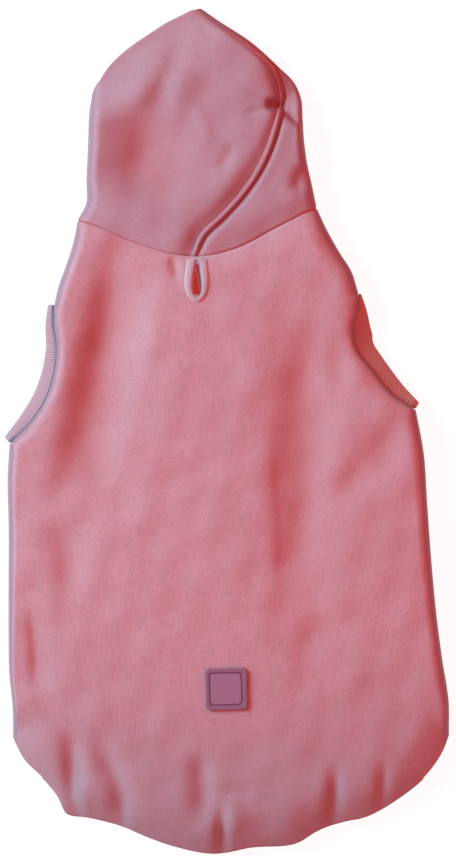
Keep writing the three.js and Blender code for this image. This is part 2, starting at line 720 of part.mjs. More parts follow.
// A panel with its hem turned up, away from the folds at its sides
function hemmedPanel(grid, normals, keep) {
  const last = grid.length - 1;
  const turned = turnedHem(grid, normals);
  const row = grid[last];
  const clear = (j) => row[j].distanceTo(hemSidePoint.left) > HEM_TURN_INSET
    && row[j].distanceTo(hemSidePoint.right) > HEM_TURN_INSET;
  const keepAll = (i, j) => (i < last ? keep(i, j) : clear(j) && clear(j + 1));
  return shell(
    [...grid, ...turned.points],
    [...normals, ...turned.directions],
    WALL,
    keepAll,
  );
}

const hemSidePoint = {
  left: new THREE.Vector3(hemEnds[0].x, hemEnds[0].y, HEM_CORNER_HEIGHT),
  right: new THREE.Vector3(hemEnds[1].x, hemEnds[1].y, HEM_CORNER_HEIGHT),
};

function backPanel() {
  const normals = gridNormals(backGrid, 1);
  normals[0] = backGrid[0].map((_, j) => seamNormal(backGrid[0], j));
  for (let i = armStart + 1; i < armEnd; i += 1) {
    normals[i][leftFold] = edgeNormal(backGrid, i, leftFold, 1);
    normals[i][rightFold] = edgeNormal(backGrid, i, rightFold, 1);
  }
  const keep = (i, j) => i < armStart || i >= armEnd || (j >= leftFold && j < rightFold);
  return hemmedPanel(backGrid, normals, keep);
}

function bellyPanel() {
  const normals = gridNormals(bellyGrid, 1);
  normals[0] = bellyGrid[0].map((_, j) => seamNormal(bellyGrid[0], j));
  for (let i = armStart + 1; i < armEnd; i += 1) {
    normals[i][0] = edgeNormal(bellyGrid, i, 0, -1);
    normals[i][BELLY_COLUMNS] = edgeNormal(bellyGrid, i, BELLY_COLUMNS, -1);
  }
  return hemmedPanel(bellyGrid, normals, () => true);
}

// Hood panels

const throatSeam = new Curve(THROAT_SEAM.map((row) => new THREE.Vector2(row.up, row.across)));
const HOOD_LEFT_COLUMNS = { under: 8, over: 15 };
const HOOD_RIGHT_COLUMNS = { under: 8, over: 7 };

function hoodRow(v) {
  const sides = [hoodLeft(v), hoodRight(v)];
  const edges = [FOLD_HEIGHT, FOLD_HEIGHT];
  const span = sides[0].distanceTo(sides[1]);
  const lift = (point, gap) => {
    const toFold = Math.min(...sides.map((side) => side.distanceTo(point)));
    point.y += mix(FOLD_GAP, gap, ease(toFold / FOLD_REACH)) * (1 - v) ** 2;
    return point;
  };
  const seam = throatSeam.at(v).y;
  const half = GAP / 2 / span;
  const under = (u) => lift(underPoint(hoodUnderPlan(u, v), sides, edges), THROAT_GAP);
  const overLeft = (u) => lift(overPoint(hoodLeftPlan(u, v), sides, edges, true), GAP);
  const overRight = (u) => lift(overPoint(hoodRightPlan(u, v), sides, edges, true), GAP);
  const seamPoint = hoodSeam(v);
  const leftGap = CREASE_GAP / 2 / seamPoint.distanceTo(sides[0]);
  const rightGap = CREASE_GAP / 2 / seamPoint.distanceTo(sides[1]);
  const left = [
    ...underSteps(HOOD_LEFT_COLUMNS.under).slice(1).reverse().map((t) => under(t * (seam - half))),
    ...endSteps(HOOD_LEFT_COLUMNS.over).map((t) => overLeft(t * (1 - leftGap))),
  ];
  const right = [
    ...endSteps(HOOD_RIGHT_COLUMNS.over).map((t, k) => {
      const even = k / HOOD_RIGHT_COLUMNS.over;
      return overRight(mix(rightGap, 1, mix(even, t, ease(seamPoint.distanceTo(sides[1]) / FOLD_REACH))));
    }),
    ...underSteps(HOOD_RIGHT_COLUMNS.under).slice(1).map((t) => under(1 - t * (1 - seam - half))),
  ];
  return { left, right };
}

const hoodGrid = evenSteps(HOOD_ROWS).map(hoodRow);

function hoodNormals(side) {
  const grid = hoodGrid.map((row) => row[side]);
  const normals = gridNormals(grid, -1);
  normals[0] = grid[0].map((_, j) => seamNormal(grid[0], j));
  return normals;
}

// Both panels share the mean normal where they meet on the centre seam. Where the right panel's
// upper part is only a narrow strip, its normals turn evenly from the seam to the fold.
function hoodPanels() {
  const left = hoodNormals("left");
  const right = hoodNormals("right");
  left.forEach((row, i) => {
    const shared = row.at(-1).clone().add(right[i][0]).normalize();
    row[row.length - 1] = shared;
    right[i][0] = shared;
  });
  hoodGrid.forEach(({ right: points }, i) => {
    const fold = HOOD_RIGHT_COLUMNS.over;
    const narrow = 1 - ease((points[0].distanceTo(points[fold]) - 2 * WALL) / FOLD_REACH);
    for (let j = 1; j < fold; j += 1) {
      const turned = right[i][0].clone().lerp(right[i][fold], j / fold);
      right[i][j].lerp(turned, narrow).normalize();
    }
  });
  const wall = (side, normals) => flip(shell(hoodGrid.map((row) => row[side]), normals, WALL, () => true));
  return { left: wall("left", left), right: wall("right", right) };
}

// Armbands

function armband(side) {
  const curves = SIDES[side];
  const column = side === "left" ? leftFold : rightFold;
  const line = backGrid.slice(armStart, armEnd + 1)
    .map((row) => new THREE.Vector2(row[column].x, row[column].y));
  const knots = [0];
  for (let k = 1; k < line.length; k += 1) {
    knots.push(knots[k - 1] + line[k].distanceTo(line[k - 1]));
  }
  const length = knots[line.length - 1];
  const widths = new Curve(ARMHOLE.map((row, k) => (
    new THREE.Vector2(curves.armhole.share(k), row[`${side}Band`]))));
  const away = side === "left" ? -1 : 1;
  const radius = armRadius;
  const margin = WALL / 2 + GAP;
  const straight = length - 2 * margin - 2 * radius;
  const loop = 2 * straight + 2 * Math.PI * radius;
  const ribs = Math.round(loop / RIB_PITCH);

  const planAt = (way) => {
    let k = 0;
    while (k < line.length - 2 && way > knots[k + 1]) {
      k += 1;
    }
    return line[k].clone().lerp(line[k + 1], (way - knots[k]) / (knots[k + 1] - knots[k]));
  };
  const outAt = (way) => {
    const reach = length / ARMHOLE_ROWS;
    const run = planAt(Math.min(length, way + reach)).sub(planAt(Math.max(0, way - reach)));
    return new THREE.Vector2(-run.y, run.x).normalize().multiplyScalar(away);
  };
  // Way along the armhole and height at a distance round the loop
  const loopAt = (distance) => {
    const turn = Math.PI * radius;
    const start = margin + radius;
    if (distance < straight) {
      return { way: start + distance, z: radius };
    }
    if (distance < straight + turn) {
      const angle = (distance - straight) / radius;
      return { way: start + straight + radius * Math.sin(angle), z: radius * Math.cos(angle) };
    }
    if (distance < 2 * straight + turn) {
      return { way: start + straight - (distance - straight - turn), z: -radius };
    }
    const angle = (distance - 2 * straight - turn) / radius;
    return { way: start - radius * Math.sin(angle), z: -radius * Math.cos(angle) };
  };

  const count = ribs * 2;
  const positions = [];
  for (let k = 0; k < count; k += 1) {
    const distance = (k / count) * loop;
    const here = loopAt(distance);
    const ahead = loopAt((distance + 0.01) % loop);
    const plan = planAt(here.way);
    const out = outAt(here.way);
    const out3 = new THREE.Vector3(out.x, out.y, 0);
    const run = planAt(ahead.way).sub(plan);
    const along = new THREE.Vector3(run.x, run.y, ahead.z - here.z).normalize();
    const normal = along.cross(out3).multiplyScalar(-away).normalize();
    const fromTip = Math.min(here.way, length - here.way);
    const near = mix(TIP_GAP, BAND_GAP, ease(fromTip / (2 * radius)));
    const far = widths.at(clamp01(here.way / length)).y * ARMBAND_WIDTH;
    const half = (ARMBAND_WALL - (k % 2 === 0 ? 0 : RIB_DEPTH)) / 2;
    const centre = new THREE.Vector3(plan.x, plan.y, FOLD_HEIGHT + here.z);
    for (const [reach, up] of [[near, half], [far, half], [far, -half], [near, -half]]) {
      const corner = centre.clone().addScaledVector(out3, reach).addScaledVector(normal, up);
      positions.push(corner.x, corner.y, corner.z);
    }
  }
  const index = [];
  for (let k = 0; k < count; k += 1) {
    const next = (k + 1) % count;
    for (let c = 0; c < 4; c += 1) {
      const d = (c + 1) % 4;
      const [a, b] = [k * 4 + c, next * 4 + c];
      const [e, f] = [next * 4 + d, k * 4 + d];
      index.push(a, b, e, a, e, f);
    }
  }
  const mesh = { positions, index };
  return away < 0 ? mesh : flip(mesh);
}

// Leash slot

const slotCentre = new THREE.Vector2(0, -(SLOT_FROM_SEAM + SLOT_LENGTH / 2));
const slotRows = SLOT.map((row) => ({
  outer: new THREE.Vector2(row.x * SLOT_WIDTH, row.up * SLOT_LENGTH).add(slotCentre),
  inner: new THREE.Vector2(row.innerX * SLOT_WIDTH, row.innerUp * SLOT_LENGTH).add(slotCentre),
}));

// Ring between the two outlines, domed across
function slotBinding() {
  const section = [
    { across: 0, up: -0.3 },
    { across: 0.12, up: 0.35 },
    { across: 0.5, up: 0.5 },
    { across: 0.88, up: 0.35 },
    { across: 1, up: -0.3 },
    { across: 0.5, up: -0.4 },
  ];
  const positions = [];
  for (const row of slotRows) {
    for (const { across, up } of section) {
      const plan = row.inner.clone().lerp(row.outer, across);
      positions.push(plan.x, plan.y, height(plan, false) + up * SLOT_WALL);
    }
  }
  const index = [];
  const [rows, sides] = [slotRows.length, section.length];
  for (let k = 0; k < rows; k += 1) {
    const next = (k + 1) % rows;
    for (let c = 0; c < sides; c += 1) {
      const d = (c + 1) % sides;
      const [a, b] = [k * sides + c, next * sides + c];
      const [e, f] = [next * sides + d, k * sides + d];
      index.push(a, e, b, a, f, e);
    }
  }
  return { positions, index };
}

// Prism that cuts the place of the binding out of the back, open at the neck seam
function slotCutter() {
  const grow = (SLOT_WIDTH + 2 * GAP) / SLOT_WIDTH;
  const beyond = SLOT_LENGTH / 5;
  const outline = slotRows.map(({ outer }, k) => {
    const off = outer.clone().sub(slotCentre).multiplyScalar(grow).add(slotCentre);
    return SLOT[k].up > 0.4 ? off.setY(off.y + beyond) : off;
  });
  const cutter = new THREE.ExtrudeGeometry(new THREE.Shape(outline), {
    depth: LOFT * 2,
    bevelEnabled: false,
  });
  cutter.translate(0, 0, WALL);
  return cutter;
}

// Label patch

function labelPatch() {
  const half = PATCH_SIZE / 2;
  const outline = [];
  for (let corner = 0; corner < 4; corner += 1) {
    for (const t of evenSteps(4)) {
      const angle = ((corner + t) * Math.PI) / 2;
      const base = (corner * Math.PI) / 2 + Math.PI / 4;
      const reach = (half - PATCH_CORNER) * Math.SQRT2;
      outline.push(new THREE.Vector2(
        reach * Math.cos(base) + PATCH_CORNER * Math.cos(angle),
        reach * Math.sin(base) + PATCH_CORNER * Math.sin(angle),
      ));
    }
  }
  const groove = half - PATCH_FRAME;
  const rings = [
    { size: 1, z: 0 },
    { size: 1, z: PATCH_WALL * 0.75 },
    { size: 1 - (PATCH_WALL * 0.25) / half, z: PATCH_WALL },
    { size: groove / half, z: PATCH_WALL },
    { size: (groove - GROOVE_WIDTH / 2) / half, z: PATCH_WALL - GROOVE_DEPTH },
    { size: (groove - GROOVE_WIDTH) / half, z: PATCH_WALL },
  ];
  const positions = [];
  const count = outline.length;
  for (const ring of rings) {
    for (const point of outline) {
      positions.push(point.x * ring.size, point.y * ring.size, ring.z);
    }
  }
  positions.push(0, 0, 0, 0, 0, PATCH_WALL);
  const bottom = rings.length * count;
  const top = bottom + 1;
  const index = [];
  for (let k = 0; k < count; k += 1) {
    const next = (k + 1) % count;
    index.push(bottom, next, k);
    for (let r = 0; r < rings.length - 1; r += 1) {
      const [a, b] = [r * count + k, r * count + next];
      index.push(a, b, b + count, a, b + count, a + count);
    }
    const last = (rings.length - 1) * count;
    index.push(top, last + k, last + next);
  }
  return { positions, index };
}

// Joins and cuts

const wasm = await Module();
wasm.setup();

function toSolid(geometry) {
  const bare = geometry.clone();
  bare.deleteAttribute("normal");
  bare.deleteAttribute("uv");
  const merged = mergeVertices(bare, 1e-4);
  const mesh = new wasm.Mesh({
    numProp: 3,
    vertProperties: new Float32Array(merged.attributes.position.array),
    triVerts: new Uint32Array(merged.index.array),
  });
  return new wasm.Manifold(mesh);
}

function fromSolid(solid) {
  const mesh = solid.getMesh();
  return toGeometry({ positions: Array.from(mesh.vertProperties), index: Array.from(mesh.triVerts) });
}

// Assembly

const garment = new THREE.Group();
garment.name = "hooded_pet_sweatshirt";

function add(name, geometry) {
  const material = new THREE.MeshStandardMaterial({ color: COLOURS[name], ...CLOTH });
  material.name = name;
  const mesh = new THREE.Mesh(geometry, material);
  mesh.name = name;
  garment.add(mesh);
  return mesh;
}

const wholeBack = toSolid(toGeometry(backPanel()));
const slotHole = toSolid(slotCutter());
add("back_panel", fromSolid(wholeBack.subtract(slotHole)));
add("belly_panel", toGeometry(bellyPanel()));
const hood = hoodPanels();
add("hood_left_panel", toGeometry(hood.left));
add("hood_right_panel", toGeometry(hood.right));
add("armband_left", toGeometry(armband("left")));
add("armband_right", toGeometry(armband("right")));
add("leash_slot_binding", toGeometry(slotBinding()));
const label = add("label_patch", toGeometry(labelPatch()));
label.position.set(patchCentre.x, patchCentre.y, patchHeight + WALL / 2 + GAP);
label.rotation.z = THREE.MathUtils.degToRad(PATCH_TURN);
label.material.roughness = 0.6;

// The origin is under the middle of the garment
garment.updateMatrixWorld(true);
const box = new THREE.Box3().setFromObject(garment, true);
const middle = box.getCenter(new THREE.Vector3());
garment.position.set(-middle.x, -middle.y, -box.min.z);
garment.updateMatrixWorld(true);

export default garment;
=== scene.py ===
"""Looks of a hooded pet sweatshirt that lies flat with its back up, built on its CAD frame.

Metres. +X is the right of the picture, +Y runs from the hem to the hood, +Z is up. Lengths in the
tables are shares of the named sizes, measured from the nape, where the centre seam of the hood
meets the neck seam.
"""
import logging
import math
from dataclasses import dataclass, field
from enum import Enum
from functools import partial
from typing import Callable

import bpy
import numpy as np
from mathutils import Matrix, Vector


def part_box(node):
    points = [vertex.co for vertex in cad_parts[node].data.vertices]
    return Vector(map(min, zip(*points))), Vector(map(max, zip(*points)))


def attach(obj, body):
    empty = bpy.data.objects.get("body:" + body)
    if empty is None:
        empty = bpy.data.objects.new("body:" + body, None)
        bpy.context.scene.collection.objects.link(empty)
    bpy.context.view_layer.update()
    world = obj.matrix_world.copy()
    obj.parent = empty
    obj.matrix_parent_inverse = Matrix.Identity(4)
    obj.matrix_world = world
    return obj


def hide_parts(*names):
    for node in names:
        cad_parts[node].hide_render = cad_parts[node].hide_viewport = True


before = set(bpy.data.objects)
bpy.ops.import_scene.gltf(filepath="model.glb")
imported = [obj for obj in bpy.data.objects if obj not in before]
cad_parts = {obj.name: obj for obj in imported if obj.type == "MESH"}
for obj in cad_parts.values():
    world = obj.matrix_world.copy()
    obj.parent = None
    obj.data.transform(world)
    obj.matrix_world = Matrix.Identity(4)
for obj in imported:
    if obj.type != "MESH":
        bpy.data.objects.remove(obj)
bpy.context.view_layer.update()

log = logging.getLogger("sweatshirt")

Line = Callable[[np.ndarray], np.ndarray]


# Sizes and tables


@dataclass(frozen=True)
class Sizes:
    """Sizes of the garment, in metres."""

    body_width: float = 0.318
    body_length: float = 0.430
    hood_width: float = 0.173
    hood_length: float = 0.180
    wall: float = 0.002
    gap: float = 0.0002
    fold_gap: float = 0.0006
    throat_gap: float = 0.00012
    crease_gap: float = 0.00006
    under_seam_gap: float = 0.0007
    loft: float = 0.015
    fold_height: float = 0.0052
    fold_reach: float = 0.022
    left_reach: float = 0.0085
    right_reach: float = 0.014
    under_reach: float = 0.006
    return_width: float = 0.028
    return_min: float = 0.005
    hem_corner_height: float = 0.0027
    hem_slope: float = 0.026
    hem_turn: float = 0.013
    hem_turn_inset: float = 0.034
    face_height: float = 0.0095
    face_slope: float = 0.034
    roll_width: float = 0.0042
    roll_height: float = 0.0014
    crease_depth: float = 0.0026
    crease_width: float = 0.0022
    valley_depth: float = 0.0036
    seam_depth: float = 0.0007
    seam_width: float = 0.0013
    unevenness: float = 0.0009
    hem_edge: float = 0.0065
    hem_rounding: float = 0.028
    band_droop: float = 0.38
    armband_width: float = 0.012
    armband_wall: float = 0.002
    rib_pitch: float = 0.0018
    rib_depth: float = 0.0008
    # Width and fade of the painted shadow along the armbands' inner edge
    gap_shade_width: float = 0.001
    gap_shade_fade: float = 0.0008
    band_gap: float = 0.00045
    tip_gap: float = 0.0013
    slot_width: float = 0.019
    slot_length: float = 0.033
    slot_wall: float = 0.003
    slot_from_seam: float = 0.0008
    patch_size: float = 0.030
    patch_corner: float = 0.0032
    patch_wall: float = 0.0016
    patch_turn: float = 1.5
    patch_frame: float = 0.0036
    groove_width: float = 0.0009
    groove_depth: float = 0.0005
    patch_rest: float = 0.030
    patch_ease: float = 0.026
    patch_x: float = 0.066
    patch_down: float = 0.722


@dataclass(frozen=True)
class Fold:
    """A soft fold along a bent line through three points.

    Half widths to the left and right of the line are shares of the panel's width, and the rise
    is a share of the loft.
    """

    x1: float
    y1: float
    x2: float
    y2: float
    x3: float
    y3: float
    left: float
    right: float
    rise: float


# Neck seam over the back: x, up as shares of the hood, from the left fold to the right fold
NECK = (
    (-0.499, 0.144), (-0.405, 0.116), (-0.248, 0.054), (-0.112, 0.012), (0.0, 0.0),
    (0.146, 0.026), (0.325, 0.112), (0.42, 0.158), (0.499, 0.196),
)
NAPE_ROW = 4

# Neck seam under the throat: x, up
THROAT = (
    (-0.499, 0.144), (-0.41, 0.045), (-0.24, -0.09), (0.0, -0.15), (0.24, -0.08),
    (0.41, 0.08), (0.499, 0.196),
)

# Where a side's run from the neck to the hem passes on to the armhole and to the flank, and the
# shares of the run that those two take up
ARMHOLE_START, FLANK_START = 0.16, 0.43
ARMHOLE_RUN, FLANK_RUN = 0.27, 0.57

# Side outlines from the neck to the armholes: left, down, right, down as shares of the body
SHOULDER = (
    (-0.272, -0.06, 0.272, -0.082), (-0.283, -0.02, 0.294, -0.047), (-0.299, 0.017, 0.324, -0.007),
    (-0.315, 0.05, 0.351, 0.025), (-0.324, 0.079, 0.366, 0.06),
)

# Armhole edges: left, down, width of the band, right, down, width of the band
ARMHOLE = (
    (-0.324, 0.079, 0.45, 0.366, 0.06, 0.22), (-0.324, 0.111, 0.62, 0.362, 0.09, 0.75),
    (-0.318, 0.149, 0.76, 0.353, 0.124, 1.25), (-0.324, 0.196, 0.86, 0.362, 0.156, 1.2),
    (-0.346, 0.243, 0.9, 0.396, 0.189, 1.05), (-0.383, 0.283, 0.82, 0.441, 0.229, 0.95),
    (-0.426, 0.315, 0.6, 0.497, 0.258, 0.55),
)

# Side outlines from the armholes to the hem: left, down, right, down
FLANK = (
    (-0.426, 0.315, 0.497, 0.258), (-0.43, 0.367, 0.514, 0.325), (-0.428, 0.45, 0.523, 0.417),
    (-0.428, 0.543, 0.532, 0.509), (-0.428, 0.635, 0.543, 0.596), (-0.426, 0.702, 0.557, 0.676),
    (-0.419, 0.752, 0.571, 0.743), (-0.419, 0.805, 0.573, 0.802),
)

# Back hem and the shorter belly hem: x, down
HEM = (
    (-0.419, 0.805), (-0.396, 0.839), (-0.344, 0.877), (-0.318, 0.9), (-0.296, 0.93),
    (-0.242, 0.938), (-0.174, 0.951), (-0.106, 0.972), (-0.05, 0.986), (0.045, 0.998),
    (0.12, 0.988), (0.233, 0.978), (0.27, 0.961), (0.335, 0.944), (0.375, 0.938),
    (0.46, 0.904), (0.525, 0.864), (0.556, 0.832), (0.573, 0.802),
)
BELLY_HEM = (
    (-0.419, 0.805), (-0.378, 0.757), (-0.288, 0.717), (-0.129, 0.687), (0.07, 0.676),
    (0.278, 0.683), (0.448, 0.713), (0.539, 0.754), (0.573, 0.802),
)

# Hood from the neck to the face opening: left fold, up, centre seam, up, right fold, up
HOOD = (
    (-0.499, 0.144, 0.0, 0.0, 0.499, 0.196), (-0.464, 0.208, 0.029, 0.068, 0.479, 0.288),
    (-0.462, 0.304, 0.112, 0.148, 0.46, 0.372), (-0.458, 0.4, 0.212, 0.256, 0.447, 0.464),
    (-0.454, 0.488, 0.291, 0.38, 0.441, 0.552), (-0.452, 0.552, 0.339, 0.512, 0.435, 0.632),
    (-0.447, 0.6, 0.36, 0.64, 0.412, 0.688), (-0.441, 0.632, 0.318, 0.754, 0.337, 0.764),
    (-0.437, 0.656, 0.21, 0.848, 0.229, 0.857), (-0.431, 0.672, 0.069, 0.938, 0.087, 0.947),
    (-0.424, 0.684, -0.006, 0.99, 0.018, 0.994),
)

# Edge of the face opening from the left fold to the peak: x, up
FACE = (
    (-0.424, 0.684), (-0.358, 0.772), (-0.287, 0.834), (-0.2, 0.892), (-0.129, 0.936),
    (-0.067, 0.966), (-0.029, 0.984), (-0.006, 0.99),
)

# Throat seam under the hood: up, across from the left fold
THROAT_SEAM = ((0.0, 0.5), (0.5, 0.3), (1.0, 0.07))

# Folds of the back, y down from the nape
BACK_FOLDS = (
    Fold(-0.155, -0.08, -0.213, 0.17, -0.3, 0.46, 0.055, 0.075, -0.6),
    Fold(0.27, 0.0, 0.242, 0.27, 0.23, 0.68, 0.07, 0.06, -0.42),
    Fold(0.48, 0.27, 0.4, 0.335, 0.3, 0.42, 0.034, 0.045, -0.18),
    Fold(0.33, 0.58, 0.27, 0.64, 0.21, 0.7, 0.04, 0.05, -0.16),
    Fold(-0.31, 0.42, -0.295, 0.5, -0.29, 0.6, 0.035, 0.04, -0.18),
    Fold(-0.15, 0.38, -0.05, 0.37, 0.05, 0.3, 0.03, 0.05, -0.08),
    Fold(-0.08, 0.05, -0.12, 0.13, -0.14, 0.24, 0.07, 0.07, 0.1),
    Fold(-0.285, 0.78, -0.28, 0.865, -0.27, 1.0, 0.025, 0.021, -0.36),
    Fold(-0.24, 0.79, -0.18, 0.88, -0.16, 1.0, 0.026, 0.024, -0.24),
    Fold(0.0, 0.81, 0.012, 0.88, 0.02, 0.96, 0.028, 0.022, -0.22),
    Fold(0.315, 0.83, 0.31, 0.9, 0.3, 1.0, 0.017, 0.015, -0.27),
)

# Folds of the hood, y up from the nape
HOOD_FOLDS = (
    Fold(-0.24, 0.68, -0.21, 0.43, -0.27, 0.17, 0.14, 0.2, -0.52),
    Fold(-0.2, 0.55, -0.12, 0.72, -0.05, 0.9, 0.06, 0.05, -0.16),
    Fold(-0.06, 0.78, -0.08, 0.63, -0.12, 0.48, 0.06, 0.06, 0.08),
    Fold(0.11, 0.74, 0.04, 0.64, -0.01, 0.54, 0.06, 0.06, -0.08),
    Fold(0.3, 0.82, 0.37, 0.68, 0.385, 0.5, 0.05, 0.055, -0.42),
    Fold(0.17, 0.47, 0.13, 0.4, 0.08, 0.32, 0.03, 0.03, -0.08),
    Fold(0.46, 0.38, 0.43, 0.31, 0.4, 0.24, 0.035, 0.05, -0.26),
)

# Finer folds that only the looks have
BACK_WRINKLES = (
    Fold(-0.062, -0.004, -0.048, 0.02, -0.044, 0.045, 0.016, 0.01, -0.13),
    Fold(0.063, 0.107, 0.052, 0.15, 0.041, 0.2, 0.028, 0.03, -0.06),
    Fold(-0.061, 0.291, -0.005, 0.306, 0.052, 0.308, 0.014, 0.02, -0.035),
    Fold(-0.12, 0.41, -0.03, 0.414, 0.07, 0.407, 0.01, 0.014, -0.03),
    Fold(0.155, 0.28, 0.165, 0.43, 0.172, 0.6, 0.035, 0.014, 0.07),
    Fold(-0.25, 0.29, -0.2, 0.38, -0.12, 0.44, 0.05, 0.05, -0.12),
    Fold(0.335, 0.1, 0.322, 0.17, 0.338, 0.26, 0.03, 0.03, -0.13),
    Fold(-0.375, 0.57, -0.365, 0.65, -0.36, 0.74, 0.016, 0.03, -0.14),
    Fold(-0.27, 0.86, -0.262, 0.9, -0.25, 0.95, 0.013, 0.013, 0.12),
    Fold(0.055, 0.9, 0.056, 0.96, 0.056, 1.05, 0.012, 0.01, -0.28),
    Fold(0.08, 0.88, 0.085, 0.93, 0.09, 0.98, 0.016, 0.016, 0.08),
    Fold(0.02, 0.885, 0.08, 0.895, 0.15, 0.89, 0.014, 0.018, -0.07),
    Fold(0.42, 0.83, 0.42, 0.88, 0.41, 0.96, 0.014, 0.014, -0.17),
    Fold(-0.16, 0.9, -0.15, 0.93, -0.14, 0.98, 0.012, 0.012, 0.1),
)
HOOD_WRINKLES = (
    Fold(0.16, 0.67, 0.24, 0.645, 0.36, 0.6, 0.014, 0.016, -0.06),
    Fold(0.18, 0.56, 0.26, 0.585, 0.36, 0.615, 0.014, 0.016, -0.07),
    Fold(0.275, 0.613, 0.325, 0.609, 0.38, 0.605, 0.026, 0.02, -0.38),
    Fold(0.35, 0.6, 0.4, 0.55, 0.45, 0.5, 0.018, 0.02, -0.2),
    Fold(-0.02, 0.62, 0.03, 0.52, 0.06, 0.44, 0.03, 0.03, 0.05),
)

# Dip of the neck seam: half width as a share of the body's width, rise as a share of the loft
NECK_DIP = (0.028, -0.14)

# Share of a fold's length over which it fades in at each end
FOLD_FADE = 0.38

# Waves of the cloth's slight unevenness: length in metres, direction and phase in radians
WAVES = (
    (0.06, 0.3, 0.2), (0.047, 1.5, 1.9), (0.039, 2.4, 4.0), (0.033, 0.9, 2.7), (0.028, 2.0, 5.1),
    (0.025, 2.9, 3.3),
)

# Strength of the painted shade in a dent as deep as the loft, and in the painted stripes of shade
# beside the rolled seam, with the stripes' places to its left and half widths in widths of the roll
DENT_SHADE, STRIPE_SHADE = 0.9, 0.85
SHADE_STRIPES = ((-0.1, 0.42), (1.15, 0.5))

# Slot binding, shares of the slot's width and length: outer x, up, inner x, up
SLOT = (
    (0.0, 0.497, -0.008, 0.44), (-0.2, 0.495, -0.022, 0.41), (-0.365, 0.475, -0.045, 0.33),
    (-0.45, 0.24, -0.092, 0.18), (-0.5, -0.03, -0.132, -0.01), (-0.43, -0.27, -0.132, -0.2),
    (-0.22, -0.43, -0.078, -0.3), (0.02, -0.5, 0.01, -0.335), (0.25, -0.42, 0.088, -0.3),
    (0.43, -0.26, 0.122, -0.2), (0.49, -0.03, 0.108, -0.01), (0.45, 0.24, 0.068, 0.18),
    (0.375, 0.475, 0.032, 0.33), (0.2, 0.495, 0.01, 0.41),
)


# Numbers


def clamp01(t: np.ndarray) -> np.ndarray:
    """Limit to the range from 0 to 1."""
    return np.clip(t, 0.0, 1.0)


def ease(t: np.ndarray) -> np.ndarray:
    """Smooth step from 0 to 1: t squared times 3 minus 2 t."""
    t = clamp01(t)
    return t * t * (3 - 2 * t)


def mix(a: np.ndarray, b: np.ndarray, t: np.ndarray) -> np.ndarray:
    """Value between a and b at share t."""
    return a + (b - a) * t


def bell(t: np.ndarray) -> np.ndarray:
    """Bell curve: e to the power of minus t squared."""
    return np.exp(-t * t)


def bulge(t: np.ndarray) -> np.ndarray:
    """Quarter circle from 0 at t = 0 to 1 at t = 1."""
    return np.sqrt(np.maximum(0.0, 1 - (1 - clamp01(t)) ** 2))


def length(vectors: np.ndarray) -> np.ndarray:
    """Length of each vector along the last axis."""
    return np.linalg.norm(vectors, axis=-1)


def unit(vectors: np.ndarray) -> np.ndarray:
    """Each vector scaled to length 1."""
    return vectors / np.maximum(length(vectors), 1e-12)[..., None]


def lengths_along(points: np.ndarray, axis: int = 0) -> np.ndarray:
    """Distance along a line of points, or along the lines of a grid, from the first point."""
    steps = length(np.diff(points, axis=axis))
    start = [(0, 0)] * steps.ndim
    start[axis] = (1, 0)
    return np.pad(np.cumsum(steps, axis=axis), start)


def gathered(count: int, power: float = 1.4) -> np.ndarray:
    """Steps from 0 to 1 that lie closer at both ends: t^p / (t^p + (1 - t)^p).

    Args:
        count: Number of steps.
        power: 1 for even steps, more for closer ends.

    Returns:
        Array of count + 1 values.
    """
    t = np.linspace(0, 1, count + 1)
    return t**power / (t**power + (1 - t) ** power)


def starting(count: int) -> np.ndarray:
    """Steps from 0 to 1 that start close together: 1 minus the cosine of a quarter turn."""
    return 1 - np.cos(np.linspace(0, math.pi / 2, count + 1))


def body_points(x: np.ndarray, down: np.ndarray, sizes: Sizes) -> np.ndarray:
    """Plan points from shares of the body."""
    return np.stack([np.asarray(x) * sizes.body_width, -np.asarray(down) * sizes.body_length], -1)


def hood_points(x: np.ndarray, up: np.ndarray, sizes: Sizes) -> np.ndarray:
    """Plan points from shares of the hood."""
    return np.stack([np.asarray(x) * sizes.hood_width, np.asarray(up) * sizes.hood_length], -1)


